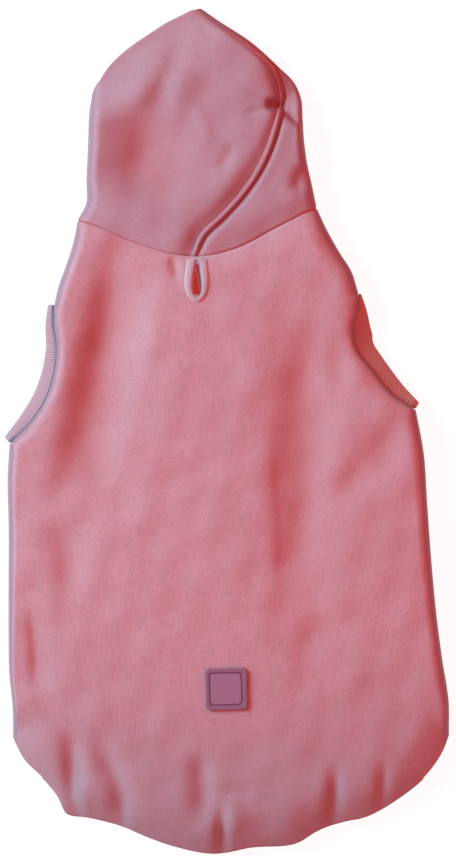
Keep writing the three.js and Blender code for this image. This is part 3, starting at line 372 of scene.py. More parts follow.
class Curve:
    """Smooth curve through points, with its parameter in proportion to the chord length.

    Between two points it is a cubic whose slopes are the weighted means of the chords on both
    sides of each point.
    """

    def __init__(self, points: np.ndarray) -> None:
        """Find the knots and slopes.

        Args:
            points: Array of shape (count, 2).
        """
        self.points = np.asarray(points, float)
        self.knots = lengths_along(self.points)
        self.length = float(self.knots[-1])
        chords = np.diff(self.points, axis=0)
        steps = length(chords)
        rates = chords / steps[:, None]
        weight = (steps[:-1] / (steps[:-1] + steps[1:]))[:, None]
        inner = mix(rates[:-1], rates[1:], weight)
        self.slopes = np.concatenate([rates[:1], inner, rates[-1:]])

    def at(self, t: np.ndarray) -> np.ndarray:
        """Find points of the curve.

        Args:
            t: Shares of the length.

        Returns:
            Points, of shape (..., 2).
        """
        way = clamp01(np.asarray(t, float)) * self.length
        k = np.clip(np.searchsorted(self.knots, way) - 1, 0, len(self.points) - 2)
        step = (self.knots[k + 1] - self.knots[k])[..., None]
        s = ((way - self.knots[k]) / step[..., 0])[..., None]
        # Cubic Hermite weights of the first point and of the two slopes
        h1 = 2 * s**3 - 3 * s**2 + 1
        h2 = s**3 - 2 * s**2 + s
        h3 = s**3 - s**2
        start = self.points[k] * h1 + self.slopes[k] * h2 * step
        return start + self.points[k + 1] * (1 - h1) + self.slopes[k + 1] * h3 * step

    def share(self, k: int) -> float:
        """Share of the length at the point k."""
        return float(self.knots[k] / self.length)

    def place_at(self, t: np.ndarray) -> np.ndarray:
        """Place among the points, counted from 0, at shares t of the length."""
        return np.interp(clamp01(np.asarray(t, float)) * self.length, self.knots,
                         np.arange(len(self.knots)))

    def at_place(self, place: np.ndarray) -> np.ndarray:
        """Points at places among the points."""
        return self.at(np.interp(place, np.arange(len(self.knots)), self.knots) / self.length)

    def trace(self, count: int) -> np.ndarray:
        """Points at even shares of the length."""
        return self.at(np.linspace(0, 1, count + 1))


def nearest(line: np.ndarray, points: np.ndarray) -> tuple[np.ndarray, np.ndarray, np.ndarray]:
    """Where a line of points comes nearest to each point.

    Args:
        line: Array of shape (count, 2).
        points: Array of shape (..., 2).

    Returns:
        Distance, side (1 on the left of the line's run) and share of the way along.
    """
    best = np.full(points.shape[:-1], np.inf)
    side = np.ones(points.shape[:-1])
    along = np.zeros(points.shape[:-1])
    for k in range(len(line) - 1):
        run = line[k + 1] - line[k]
        off = points - line[k]
        s = clamp01((off @ run) / (run @ run))
        distance = length(off - s[..., None] * run)
        closer = distance < best
        best = np.where(closer, distance, best)
        side = np.where(closer, np.sign(run[0] * off[..., 1] - run[1] * off[..., 0]), side)
        along = np.where(closer, (k + s) / (len(line) - 1), along)
    return best, side, along


def between(curve: Curve, start: np.ndarray, end: np.ndarray) -> Line:
    """Ease the first and last sixth of a curve over to two given points.

    Args:
        curve: The curve.
        start: Point that share 0 moves to.
        end: Point that share 1 moves to.

    Returns:
        The line that gives the point at a share.
    """
    start_shift = start - curve.at(0)
    end_shift = end - curve.at(1)

    def shifted(u: np.ndarray) -> np.ndarray:
        """Point at share u."""
        u = np.asarray(u, float)
        return (curve.at(u) + start_shift * ease(1 - u * 6)[..., None]
                + end_shift * ease(1 - (1 - u) * 6)[..., None])

    return shifted


def straight(start: np.ndarray, end: np.ndarray) -> Line:
    """Straight line between two points."""
    return lambda u: start + (end - start) * np.asarray(u, float)[..., None]


@dataclass(frozen=True)
class Plan:
    """Surface in plan between four border lines, as a Coons patch.

    It is the sum of the straight blends between the two pairs of borders, less the straight
    blend of the four corners.
    """

    first: Line
    last: Line
    left: Line
    right: Line

    def at(self, u: np.ndarray, v: np.ndarray) -> np.ndarray:
        """Find plan points.

        Args:
            u: Shares across, from the left border to the right one.
            v: Shares along, of a shape that fits u.

        Returns:
            Points, with a last axis of 2.
        """
        u1, v1 = np.asarray(u, float)[..., None], np.asarray(v, float)[..., None]
        sides = self.left(v) * (1 - u1) + self.right(v) * u1
        borders = self.first(u) * (1 - v1) + self.last(u) * v1
        start = self.left(0.0) * (1 - u1) * (1 - v1) + self.right(0.0) * u1 * (1 - v1)
        end = self.left(1.0) * (1 - u1) * v1 + self.right(1.0) * u1 * v1
        return sides + borders - start - end


# Meshes


@dataclass
class Cloth:
    """Points and faces of one piece, with what its material reads.

    quads and triangles index the points. rim marks the quads that are shaded flat. uv is in
    metres along the cloth. marks are named values for each point.
    """

    points: np.ndarray
    quads: np.ndarray
    uv: np.ndarray
    marks: dict[str, np.ndarray] = field(default_factory=dict)
    triangles: np.ndarray = field(default_factory=lambda: np.zeros((0, 3), int))
    rim: np.ndarray | None = None

    def outwards(self) -> None:
        """Turn all faces round if the enclosed volume comes out negative."""
        corners = [self.quads[:, [0, 1, 2]], self.quads[:, [0, 2, 3]], self.triangles]
        a, b, c = (self.points[np.concatenate(corners)[:, k]] for k in range(3))
        if np.einsum("ij,ij->", a, np.cross(b, c)) < 0:
            self.quads = self.quads[:, ::-1]
            self.triangles = self.triangles[:, ::-1]

    def build(self, name: str, material: bpy.types.Material) -> bpy.types.Object:
        """Make the object.

        Args:
            name: Name of the object and its mesh.
            material: Material of the whole piece.

        Returns:
            The new object, at the origin.
        """
        self.outwards()
        used, back = np.unique(np.concatenate([self.quads.ravel(), self.triangles.ravel()]),
                               return_inverse=True)
        starts = np.concatenate([np.arange(len(self.quads)) * 4,
                                 len(self.quads) * 4 + np.arange(len(self.triangles)) * 3])
        mesh = bpy.data.meshes.new(name)
        mesh.vertices.add(len(used))
        mesh.vertices.foreach_set("co", self.points[used].astype(np.float32).ravel())
        mesh.loops.add(len(back))
        mesh.loops.foreach_set("vertex_index", back.astype(np.int32).ravel())
        mesh.polygons.add(len(starts))
        mesh.polygons.foreach_set("loop_start", starts.astype(np.int32))
        mesh.update(calc_edges=True)
        smooth = np.ones(len(starts), bool)
        if self.rim is not None:
            smooth[: len(self.quads)] = ~self.rim
        mesh.polygons.foreach_set("use_smooth", smooth)
        layer = mesh.uv_layers.new(name="cloth")
        layer.uv.foreach_set("vector", self.uv[used][back.ravel()].astype(np.float32).ravel())
        for key, values in self.marks.items():
            mark = mesh.attributes.new(key, "FLOAT", "POINT")
            mark.data.foreach_set("value", values[used].astype(np.float32))
        mesh.materials.append(material)
        mesh.validate()
        piece = bpy.data.objects.new(name, mesh)
        bpy.context.scene.collection.objects.link(piece)
        return piece


def headings(points: np.ndarray, axis: int) -> np.ndarray:
    """Direction of the grid lines at each point: the mean of the steps before and after it."""
    steps = unit(np.diff(points, axis=axis))
    none = [(0, 0)] * points.ndim
    before, after = list(none), list(none)
    before[axis], after[axis] = (1, 0), (0, 1)
    return unit(np.pad(steps, before) + np.pad(steps, after))


def grid_normals(points: np.ndarray, sign: int) -> np.ndarray:
    """Normals of a grid: along the rows' order crossed with across, times the sign."""
    return unit(np.cross(headings(points, 0), headings(points, 1))) * sign


def rimmed(grid: np.ndarray, sign: int, wall: float) -> np.ndarray:
    """Find the normals of a panel that starts on the neck seam.

    Args:
        grid: Points, whose first row lies on the seam.
        sign: As for grid_normals.
        wall: Thickness of the panel.

    Returns:
        Normals that turn square to the garment's length over two walls' distance to the seam.
    """
    across = headings(grid[:1], 1)[0]
    rim = unit(np.stack([-across[:, 2], np.zeros(len(across)), across[:, 0]], -1))
    from_rim = ease(length(grid - grid[:1]) / (2.0 * wall))[..., None]
    return unit(mix(rim[None], grid_normals(grid, sign), from_rim))


def thinned(distance: np.ndarray, wall: float) -> np.ndarray:
    """Thickness of a wall that is rounded off at a rim at this distance."""
    return wall * mix(0.45, 1.0, bulge(distance / (0.6 * wall)))


def section(count: int, power: float) -> tuple[np.ndarray, np.ndarray]:
    """Lay out the points round a rounded section.

    Args:
        count: Number of points.
        power: 1 for an ellipse, less for blunter ends.

    Returns:
        Angle of each point, from half a turn downwards, and its place across, from 0 to 1.
    """
    angle = np.pi - 2 * np.pi * (np.arange(count) + 0.5) / count
    return angle, 0.5 + 0.5 * signed_power(np.cos(angle), power)


def signed_power(t: np.ndarray, power: float) -> np.ndarray:
    """Power of the size of t, with the sign of t."""
    return np.sign(t) * np.abs(t) ** power


def shell(points: np.ndarray, normals: np.ndarray, wall: np.ndarray, keep: np.ndarray,
          warm: np.ndarray) -> Cloth:
    """Closed wall round a grid of middle points: each point plus and minus half the wall.

    Args:
        points: Middle surface, of shape (rows, columns, 3).
        normals: Directions of the same shape, towards the outer side.
        wall: Thickness at each point.
        keep: Which cells there are, of shape (rows - 1, columns - 1).
        warm: Strength of the painted shade at each point, 0 to 1.

    Returns:
        The cloth, whose mark inside is 1 on the inner side, whose mark turned is 0 where the cloth
        lies level and 1 where it stands upright, and whose mark warm is the strength of the painted
        shade.
    """
    rows, columns = points.shape[:2]
    half = normals * (wall / 2)[..., None]
    outer = np.arange(rows * columns).reshape(rows, columns)
    rings = [outer[:-1, :-1], outer[1:, :-1], outer[1:, 1:], outer[:-1, 1:]]
    under = [ring + rows * columns for ring in rings]
    quads = [np.stack(rings, -1)[keep], np.stack(under[::-1], -1)[keep]]
    around = np.pad(keep, 1)
    beyond = [around[1:-1, :-2], around[2:, 1:-1], around[1:-1, 2:], around[:-2, 1:-1]]
    rims = []
    for k in range(4):
        edge = keep & ~beyond[k]
        turn = (k + 1) % 4
        rims.append(np.stack([rings[turn], rings[k], under[k], under[turn]], -1)[edge])
    flat = np.concatenate(quads)
    rim = np.concatenate(rims)
    uv = np.stack([lengths_along(points, 1), lengths_along(points, 0)], -1).reshape(-1, 2)
    inside = np.repeat([0.0, 1.0], rows * columns)
    turned = np.tile(1 - np.abs(unit(normals)[..., 2]).ravel(), 2)
    return Cloth(
        points=np.concatenate([(points + half).reshape(-1, 3), (points - half).reshape(-1, 3)]),
        quads=np.concatenate([flat, rim]),
        uv=np.concatenate([uv, uv]),
        marks={"inside": inside, "turned": turned, "warm": np.tile(warm.ravel(), 2)},
        rim=np.arange(len(flat) + len(rim)) >= len(flat),
    )


def tube(rings: np.ndarray, uv: np.ndarray, marks: dict[str, np.ndarray]) -> Cloth:
    """Join closed sections to a closed loop.

    Args:
        rings: Points of shape (sections, points, 3).
        uv: Coordinates along the cloth, of shape (sections, points, 2).
        marks: Named values of shape (sections, points).

    Returns:
        The cloth.
    """
    count, sides = rings.shape[:2]
    here = np.arange(count * sides).reshape(count, sides)
    ahead = np.roll(here, -1, 0)
    quads = np.stack([here, ahead, np.roll(ahead, -1, 1), np.roll(here, -1, 1)], -1)
    return Cloth(rings.reshape(-1, 3), quads.reshape(-1, 4), uv.reshape(-1, 2),
                 {key: mark.ravel() for key, mark in marks.items()})


# Materials


class Wire:
    """An output socket. A number from it takes part in Python arithmetic."""

    def __init__(self, graph: "Graph", socket: bpy.types.NodeSocket) -> None:
        """Wrap a socket of the graph's tree."""
        self.graph = graph
        self.socket = socket

    def _math(self, operation: str, first: "Wire | float", second: "Wire | float") -> "Wire":
        """Add a Math node."""
        return self.graph.node("ShaderNodeMath", {"operation": operation}, {0: first, 1: second})

    def __add__(self, other: "Wire | float") -> "Wire":
        """Sum."""
        return self._math("ADD", self, other)

    def __mul__(self, other: "Wire | float") -> "Wire":
        """Product."""
        return self._math("MULTIPLY", self, other)

    __radd__ = __add__
    __rmul__ = __mul__


class Graph:
    """The nodes of one material."""

    def __init__(self, name: str) -> None:
        """Start an empty material."""
        self.material = bpy.data.materials.new(name)
        self.material.use_nodes = True
        self.tree = self.material.node_tree
        self.tree.nodes.clear()

    def node(self, kind: str, settings: dict | None = None, inputs: dict | None = None,
             out: int | str = 0) -> Wire:
        """Add a node.

        Args:
            kind: Type of the node.
            settings: Its properties.
            inputs: Values or wires of its sockets, by name or number.
            out: The output to hand back.

        Returns:
            The wire of that output.
        """
        made = self.tree.nodes.new(kind)
        for key, value in (settings or {}).items():
            setattr(made, key, value)
        for key, value in (inputs or {}).items():
            if isinstance(value, Wire):
                self.tree.links.new(value.socket, made.inputs[key])
            else:
                made.inputs[key].default_value = value
        return Wire(self, made.outputs[out])

    def blend(self, share: Wire | float, first: Wire | tuple, second: Wire | tuple) -> Wire:
        """Colour between two colours."""
        return self.node("ShaderNodeMix", {"data_type": "RGBA"}, {0: share, 6: first, 7: second}, 2)

    def cloth(self) -> Wire:
        """Coordinates along the cloth, in metres."""
        return self.node("ShaderNodeUVMap", {"uv_map": "cloth"})

    def spread(self, value: Wire, low: float, high: float, top: float = 1.0,
               kind: str = "LINEAR") -> Wire:
        """Value from 0 at low to top at high."""
        return self.node("ShaderNodeMapRange", {"interpolation_type": kind},
                         {0: value, 1: low, 2: high, 3: 0.0, 4: top})

    def mark(self, name: str) -> Wire:
        """A named value of the mesh's points."""
        return self.node("ShaderNodeAttribute", {"attribute_name": name}, out="Fac")

    def noise(self, at: Wire, scale: float, detail: float = 2.0) -> Wire:
        """Noise from 0 to 1 with so many features to the metre."""
        return self.node("ShaderNodeTexNoise", {"noise_dimensions": "2D"},
                         {"Vector": at, "Scale": scale, "Detail": detail})

    def part(self, vector: Wire, axis: str) -> Wire:
        """One part of a vector."""
        return self.node("ShaderNodeSeparateXYZ", {}, {"Vector": vector}, axis)

    def stretched(self, at: Wire, across: float, along: float) -> Wire:
        """Coordinates scaled in two directions, so that a pattern on them is drawn out."""
        return self.node("ShaderNodeMapping", {}, {"Vector": at, "Scale": (across, along, 1.0)})

    def bump(self, height: Wire, depth: float) -> Wire:
        """Normal of a relief whose height 1 is so many metres."""
        return self.node("ShaderNodeBump", {}, {"Strength": 1.0, "Distance": depth, "Height": height})

    def finish(self, settings: dict) -> bpy.types.Material:
        """End the material with a Principled shader that has these inputs."""
        shader = self.node("ShaderNodeBsdfPrincipled", {}, settings)
        output = self.tree.nodes.new("ShaderNodeOutputMaterial")
        self.tree.links.new(shader.socket, output.inputs["Surface"])
        return self.material


Colour = tuple[float, float, float]


def opaque(colour: Colour) -> tuple[float, float, float, float]:
    """The colour with full cover."""
    return (*colour, 1.0)


@dataclass(frozen=True)
class Fleece:
    """Brushed sweatshirt fleece: a soft nap with a fine grain and a faint sheen."""

    name: str
    light: Colour
    dark: Colour
    # glow is painted light on the inner side; edge is the grain's colour and painted shade on steep
    # sides; hem is painted shade towards the hem; warm is painted shade in the dents
    glow: Colour = (0.76, 0.12, 0.085)
    edge: Colour = (0.36, 0.115, 0.155)
    hem: Colour = (0.3, 0.19, 0.26)
    warm: Colour = (0.58, 0.11, 0.12)
    clouds: float = 22.0
    tufts: float = 240.0
    courses: float = 800.0
    weave: float = 0.28
    hem_shade_span: tuple[float, float] = (-0.12, -0.33)
    hem_shade_share: float = 0.6
    nap: float = 0.00022
    glow_strength: float = 0.2
    sheen: float = 0.25

    def material(self) -> bpy.types.Material:
        """Make the material.

        The colour runs between light and dark with clouds, tufts and a fine grain of wales and
        courses, all so many to the metre. It turns to the edge colour in the weave, and to it as
        painted shade where the cloth is turned down along its folds. The warm colour is painted shade
        in its dents, and the hem colour is painted shade that darkens it over the span along the
        garment towards the hem. The glow colour on the inner side, which also shines a little, is
        painted light that stands for light coming through the cloth. The bump is a nap and the grain.
        """
        graph = Graph(self.name)
        at = graph.cloth()
        cloud = graph.noise(at, self.clouds, 3.0)
        tuft = graph.noise(at, self.tufts, 3.0)
        wales = graph.noise(graph.stretched(at, 1.0, 0.12), self.courses, 2.0)
        courses = graph.noise(graph.stretched(at, 0.12, 1.0), self.courses, 2.0)
        grain = (wales + courses) * 0.5
        share = cloud * 0.35 + tuft * 0.2 + grain * 0.45
        colour = graph.blend(graph.spread(share, 0.36, 0.64), opaque(self.dark), opaque(self.light))
        colour = graph.blend(graph.spread(grain, 0.4, 0.6) * self.weave, colour, opaque(self.edge))
        # Painted shade: steep sides, where the cloth turns down, go to the edge colour
        steep = graph.spread(graph.mark("turned"), 0.015, 0.32, 1.0, "SMOOTHSTEP")
        colour = graph.blend(steep, colour, opaque(self.edge))
        # Painted shade in the dents and beside the rolled seam
        colour = graph.blend(graph.mark("warm"), colour, opaque(self.warm))
        # Painted shade that darkens the cloth towards the hem
        place = graph.node("ShaderNodeTexCoord", {}, {}, "Object")
        low = graph.spread(graph.part(place, "Y"), *self.hem_shade_span, self.hem_shade_share, "SMOOTHSTEP")
        colour = graph.blend(low, colour, opaque(self.hem))
        # Painted light: the inner side turns red, as if lit through the cloth
        colour = graph.blend(graph.mark("inside"), colour, opaque(self.glow))
        normal = graph.bump(tuft * 0.6 + grain * 0.4, self.nap)
        # Painted light: the inner side glows by emission
        through = graph.blend(graph.mark("inside"), opaque((0.0, 0.0, 0.0)), opaque(self.glow))
        return graph.finish({
            "Base Color": colour, "Roughness": 0.9, "Normal": normal, "Specular IOR Level": 0.2,
            "Emission Color": through, "Emission Strength": self.glow_strength,
            "Sheen Weight": self.sheen, "Sheen Roughness": 0.55, "Sheen Tint": (0.85, 0.8, 1.0, 1.0),
            "Subsurface Weight": 0.35, "Subsurface Radius": (1.0, 0.22, 0.2),
            "Subsurface Scale": 0.004,
        })


@dataclass(frozen=True)
class RibKnit:
    """Rib knit: ridges, with painted shade in the valleys and a painted shadow along the inner edge."""

    name: str
    ridge: Colour
    # valley is painted shade in the grooves between the ribs
    valley: Colour
    # Painted shadow in the gap between the band and the body
    gap_shade: Colour

    def material(self) -> bpy.types.Material:
        """Make the material from the mark deep (0 ridge, 1 valley), which paints shade into the valleys,
        and the mark of the painted shadow along the inner edge.
        """
        graph = Graph(self.name)
        at = graph.cloth()
        tuft = graph.noise(at, 900.0, 2.0)
        ridge = graph.blend(tuft, opaque(tuple(c * 0.92 for c in self.ridge)), opaque(self.ridge))
        # Painted shade in the rib valleys
        colour = graph.blend(graph.mark("deep"), ridge, opaque(self.valley))
        # Painted shadow along the inner edge, in the gap by the body
        colour = graph.blend(graph.mark("gap_shadow"), colour, opaque(self.gap_shade))
        return graph.finish({
            "Base Color": colour, "Roughness": 0.85, "Normal": graph.bump(tuft, 0.00012),
            "Sheen Weight": 0.2, "Specular IOR Level": 0.25,
        })


@dataclass(frozen=True)
class Strip:
    """Folded strip of thin jersey round the leash slot."""

    name: str
    light: Colour
    dark: Colour
    # Painted shade on the inner edge of the slot's right side
    slit_shade: Colour = (0.045, 0.016, 0.05)

    def material(self) -> bpy.types.Material:
        """Make the material: courses of stitches along the strip, soft mottling, and dark painted
        shade on the inner edge where its mark is 1."""
        graph = Graph(self.name)
        at = graph.cloth()
        mottle = graph.noise(at, 260.0, 3.0)
        knit = graph.node("ShaderNodeTexWave", {"wave_type": "BANDS", "bands_direction": "X"},
                          {"Vector": at, "Scale": 420.0, "Distortion": 1.2, "Detail": 1.0}, "Fac")
        colour = graph.blend(mottle, opaque(self.dark), opaque(self.light))
        # Painted shade along the inner edge
        colour = graph.blend(graph.mark("slit_shade"), colour, opaque(self.slit_shade))
        return graph.finish({
            "Base Color": colour, "Roughness": 0.85,
            "Normal": graph.bump(knit * 0.5 + mottle * 0.5, 0.00014),
            "Sheen Weight": 0.2, "Specular IOR Level": 0.25,
            "Subsurface Weight": 0.3, "Subsurface Radius": (1.0, 0.22, 0.2),
            "Subsurface Scale": 0.003,
        })


@dataclass(frozen=True)
class Rubber:
    """Soft moulded rubber, with painted shade in its groove, and darker at its edge."""

    name: str
    face: Colour
    groove: Colour

    def material(self) -> bpy.types.Material:
        """Make the material from the mark deep (1 in the groove, where it paints shade, and at the edge).
        """
        graph = Graph(self.name)
        at = graph.cloth()
        mottle = graph.noise(at, 600.0, 3.0)
        face = graph.blend(mottle, opaque(tuple(c * 0.9 for c in self.face)), opaque(self.face))
        # Painted shade in the groove; the edge is darker too
        colour = graph.blend(graph.mark("deep"), face, opaque(self.groove))
        rough = 0.48 + mottle * 0.2
        return graph.finish({
            "Base Color": colour, "Roughness": rough, "Normal": graph.bump(mottle, 0.00006),
            "Specular IOR Level": 0.4,
        })


@dataclass(frozen=True)
class Floor:
    """Pale matt table top."""

    colour: Colour = (0.1, 0.1, 0.1)
    light: float = 0.93
    half: float = 3.0

    def build(self) -> None:
        """Make the plane."""
        graph = Graph("pale_table")
        at = graph.node("ShaderNodeTexCoord", out="Object")
        tone = graph.noise(at, 3.0, 2.0)
        colour = graph.blend(tone, opaque(tuple(c * 0.985 for c in self.colour)), opaque(self.colour))
        material = graph.finish({"Base Color": colour, "Roughness": 0.8,
                                 "Emission Color": (1.0, 1.0, 1.0, 1.0), "Emission Strength": self.light})
        mesh = bpy.data.meshes.new("table")
        corners = [(-1, -1), (1, -1), (1, 1), (-1, 1)]
        mesh.from_pydata([(x * self.half, y * self.half, 0) for x, y in corners], [], [(0, 1, 2, 3)])
        mesh.materials.append(material)
        table = bpy.data.objects.new("table", mesh)
        bpy.context.scene.collection.objects.link(table)


# Garment


class Side(Enum):
    """Left or right side of the garment in the picture."""

    LEFT = -1
    RIGHT = 1


class Layer(Enum):
    """Upper or lower layer of the folded tube of cloth."""

    OVER = 1
    UNDER = -1


@dataclass
class Pattern:
    """Border lines of all panels in plan."""

    sizes: Sizes

    def __post_init__(self) -> None:
        """Work out the curves from the tables."""
        z = self.sizes
        self.neck = Curve(hood_points(*np.transpose(NECK), z))
        self.throat = Curve(hood_points(*np.transpose(THROAT), z))
        self.hem = Curve(body_points(*np.transpose(HEM), z))
        self.belly_hem = Curve(body_points(*np.transpose(BELLY_HEM), z))
        self.face = Curve(hood_points(*np.transpose(FACE), z))
        hood = np.transpose(HOOD)
        self.seam = Curve(hood_points(hood[2], hood[3], z))
        self.hood_folds = {Side.LEFT: Curve(hood_points(hood[0], hood[1], z)),
                           Side.RIGHT: Curve(hood_points(hood[4], hood[5], z))}
        self.nape = self.neck.share(NAPE_ROW)
        shoulder, armhole, flank = np.transpose(SHOULDER), np.transpose(ARMHOLE), np.transpose(FLANK)
        self.stretches: dict[Side, list[Curve]] = {}
        for side, end in ((Side.LEFT, 0.0), (Side.RIGHT, 1.0)):
            k, a = (0, 0) if side is Side.LEFT else (2, 3)
            first = body_points(shoulder[k], shoulder[k + 1], z)
            fade = (1 - np.arange(len(first)) / (len(first) - 1)) ** 2
            first = first + (self.neck.at(end) - first[0]) * fade[:, None]
            self.stretches[side] = [
                Curve(first),
                Curve(body_points(armhole[a], armhole[a + 1], z)),
                Curve(body_points(flank[k], flank[k + 1], z)),
            ]
        neck_ends = [self.body_side(side, 0.0) for side in Side]
        hem_ends = [self.body_side(side, 1.0) for side in Side]
        self.neck_line = between(self.neck, *neck_ends)
        self.throat_line = between(self.throat, *neck_ends)
        self.hem_line = between(self.hem, *hem_ends)
        self.belly_line = between(self.belly_hem, *hem_ends)
        self.hem_ends = hem_ends
        self.patch_centre = body_points(z.patch_x, z.patch_down, z)
        self.slot_centre = np.array([0.0, -(z.slot_from_seam + z.slot_length / 2)])

    def body_side(self, side: Side, v: np.ndarray) -> np.ndarray:
        """Find points of one side of the body, half a wall inside the outline.

        Args:
            side: Left or right.
            v: Shares of the run along the shoulder, the armhole and the flank.

        Returns:
            Plan points.
        """
        v = np.asarray(v, float)
        shoulder, armhole, flank = self.stretches[side]
        one = v[..., None]
        point = np.where(one <= ARMHOLE_START, shoulder.at(v / ARMHOLE_START),
                         np.where(one <= FLANK_START, armhole.at((v - ARMHOLE_START) / ARMHOLE_RUN),
                                  flank.at((v - FLANK_START) / FLANK_RUN)))
        return point - np.array([side.value * self.sizes.wall / 2, 0.0])

    def hood_side(self, side: Side, v: np.ndarray) -> np.ndarray:
        """Fold of one side of the hood, half a wall inside the outline."""
        point = self.hood_folds[side].at_place(self.seam.place_at(v))
        return point - np.array([side.value * self.sizes.wall / 2, 0.0])


@dataclass
class Relief:
    """Heights of the two layers of cloth above the table."""

    sizes: Sizes
    pattern: Pattern

    def __post_init__(self) -> None:
        """Trace the lines that the heights are measured from."""
        z, p = self.sizes, self.pattern
        self.neck = p.neck.trace(48)
        self.hem = p.hem.trace(60)
        self.face = p.face.trace(30)
        self.seam = p.seam.trace(60)
        self.folds = []
        for table, place, width in ((BACK_FOLDS + BACK_WRINKLES, body_points, z.body_width),
                                    (HOOD_FOLDS + HOOD_WRINKLES, hood_points, z.hood_width)):
            for fold in table:
                xs, ys = (fold.x1, fold.x2, fold.x3), (fold.y1, fold.y2, fold.y3)
                self.folds.append((Curve(place(xs, ys, z)).trace(12), fold, width))
        self.patch_height = z.loft * (1 + float(self.fold_sum(p.patch_centre[None])[0]))

    def fold_sum(self, points: np.ndarray) -> np.ndarray:
        """Add up the folds.

        Each fold is its rise times a bell of the distance over its half width on that side, and
        fades smoothly towards its ends.

        Args:
            points: Plan points.

        Returns:
            Share of the loft at each point.
        """
        width, rise = NECK_DIP
        total = rise * bell(nearest(self.neck, points)[0] / (width * self.sizes.body_width))
        for line, fold, scale in self.folds:
            reach = 3 * max(fold.left, fold.right) * scale
            low, high = line.min(0) - reach, line.max(0) + reach
            near = ((points > low) & (points < high)).all(-1)
            if not near.any():
                continue
            distance, side, along = nearest(line, points[near])
            half = np.where(side > 0, fold.right, fold.left) * scale
            fade = ease(np.minimum(along, 1 - along) / FOLD_FADE)
            total[near] += fold.rise * bell(distance / half) * fade
        return total

    def beside_roll(self, points: np.ndarray) -> tuple[np.ndarray, np.ndarray, np.ndarray]:
        """Measure from the rolled seam, which gets slimmer towards the peak.

        Args:
            points: Plan points.

        Returns:
            Way to the left in widths of the roll, that width, and share of the way along.
        """
        distance, side, along = nearest(self.seam, points)
        width = self.sizes.roll_width * mix(1.0, 0.6, ease((along - 0.4) / 0.35))
        return distance * side / width, width, along

    def roll(self, points: np.ndarray) -> np.ndarray:
        """Shape the rolled centre seam of the hood.

        It has a ridge on its left, a crease on the seam and a valley on the ridge's left. The
        roll grows from the nape and gets lower towards the peak.

        Args:
            points: Plan points.

        Returns:
            Height to add at each point.
        """
        z = self.sizes
        ridge_at, valley_at, steep = 0.52, 1.05, 0.32
        left, width, along = self.beside_roll(points)
        lower = mix(1.0, 0.6, ease((along - 0.45) / 0.4))
        ridge = z.roll_height * lower * bell((left - ridge_at) / steep)
        fading = ease((along - 0.3) / 0.25)
        reach = np.where(left > valley_at, mix(1.7, 0.9, fading), steep)
        valley = z.valley_depth * mix(1.0, 0.5, fading) * bell((left - valley_at) / reach)
        valley *= 1 - ease((along - 0.6) / 0.3)
        deep = 1.2 - 0.2 * ease(along / 0.45)
        crease = z.crease_depth * deep * bell(left * width / (z.crease_width * deep))
        return (ridge - valley - crease) * ease((along + 0.06) / 0.12)

    def painted_shade(self, points: np.ndarray, on_hood: bool) -> np.ndarray:
        """Find the painted shade: more in the dents and beside the rolled seam.

        Args:
            points: Plan points.
            on_hood: Whether the rolled seam is there.

        Returns:
            Strength of the painted shade from 0 to 1 at each point.
        """
        dents = clamp01(-DENT_SHADE * self.fold_sum(points))
        if not on_hood:
            return dents
        left, _, along = self.beside_roll(points)
        beside = STRIPE_SHADE * sum(bell((left - place) / half) for place, half in SHADE_STRIPES)
        beside *= ease(along / 0.12) * (1 - 0.7 * ease((along - 0.72) / 0.2))
        return np.maximum(dents, beside)

    def uneven(self, points: np.ndarray) -> np.ndarray:
        """Slight unevenness of the cloth: the mean of the waves in the table."""
        lengths, turns, phases = np.transpose(WAVES)
        ways = np.stack([np.cos(turns), np.sin(turns)], 0) / lengths
        waves = np.sin(2 * np.pi * (points @ ways) + phases)
        return self.sizes.unevenness * waves.mean(-1)

    def top(self, points: np.ndarray, on_hood: bool) -> np.ndarray:
        """Height of the upper layer away from its folded sides.

        The loft times one plus the folds and a slight unevenness, level round the patch. It
        falls to the hem by a quarter of a sine wave, where the folds still show, and to the
        face opening's height at its edge. A groove runs along the neck seam.

        Args:
            points: Plan points.
            on_hood: Whether the rolled seam is there.

        Returns:
            Height above the table at each point.
        """
        z, p = self.sizes, self.pattern
        folds = self.fold_sum(points)
        folded = z.loft * (1 + folds) + (self.roll(points) if on_hood else 0.0)
        folded += self.uneven(points)
        away = ease((length(points - p.patch_centre) - z.patch_rest) / z.patch_ease)
        level = mix(self.patch_height, folded, away)
        edge = z.hem_edge * np.maximum(0.62, 1 + 0.95 * folds)
        rise = np.sin(clamp01(nearest(self.hem, points)[0] / z.hem_rounding) * np.pi / 2)
        over_hem = mix(edge, level, rise)
        height = mix(z.face_height, over_hem, ease(nearest(self.face, points)[0] / z.face_slope))
        return height - z.seam_depth * bell(nearest(self.neck, points)[0] / z.seam_width)

    def over(self, points: np.ndarray, ends: list[np.ndarray], edges: list[np.ndarray],
             on_hood: bool) -> np.ndarray:
        """Upper layer, rounded down to the edges at both sides by quarter circles.

        Args:
            points: Plan points of shape (rows, columns, 2).
            ends: Left and right edge points of shape (rows, 1, 2).
            edges: Heights of those edges, of shape (rows, 1).
            on_hood: Whether the rolled seam is there.

        Returns:
            Points of shape (rows, columns, 3).
        """
        top = self.top(points, on_hood)
        z = top.copy()
        sizes = self.sizes
        reaches = (sizes.left_reach, sizes.left_reach if on_hood else sizes.right_reach)
        for end, edge, reach in zip(ends, edges, reaches):
            z -= (top - edge) * (1 - bulge(length(points - end) / reach))
        return np.concatenate([points, z[..., None]], -1)

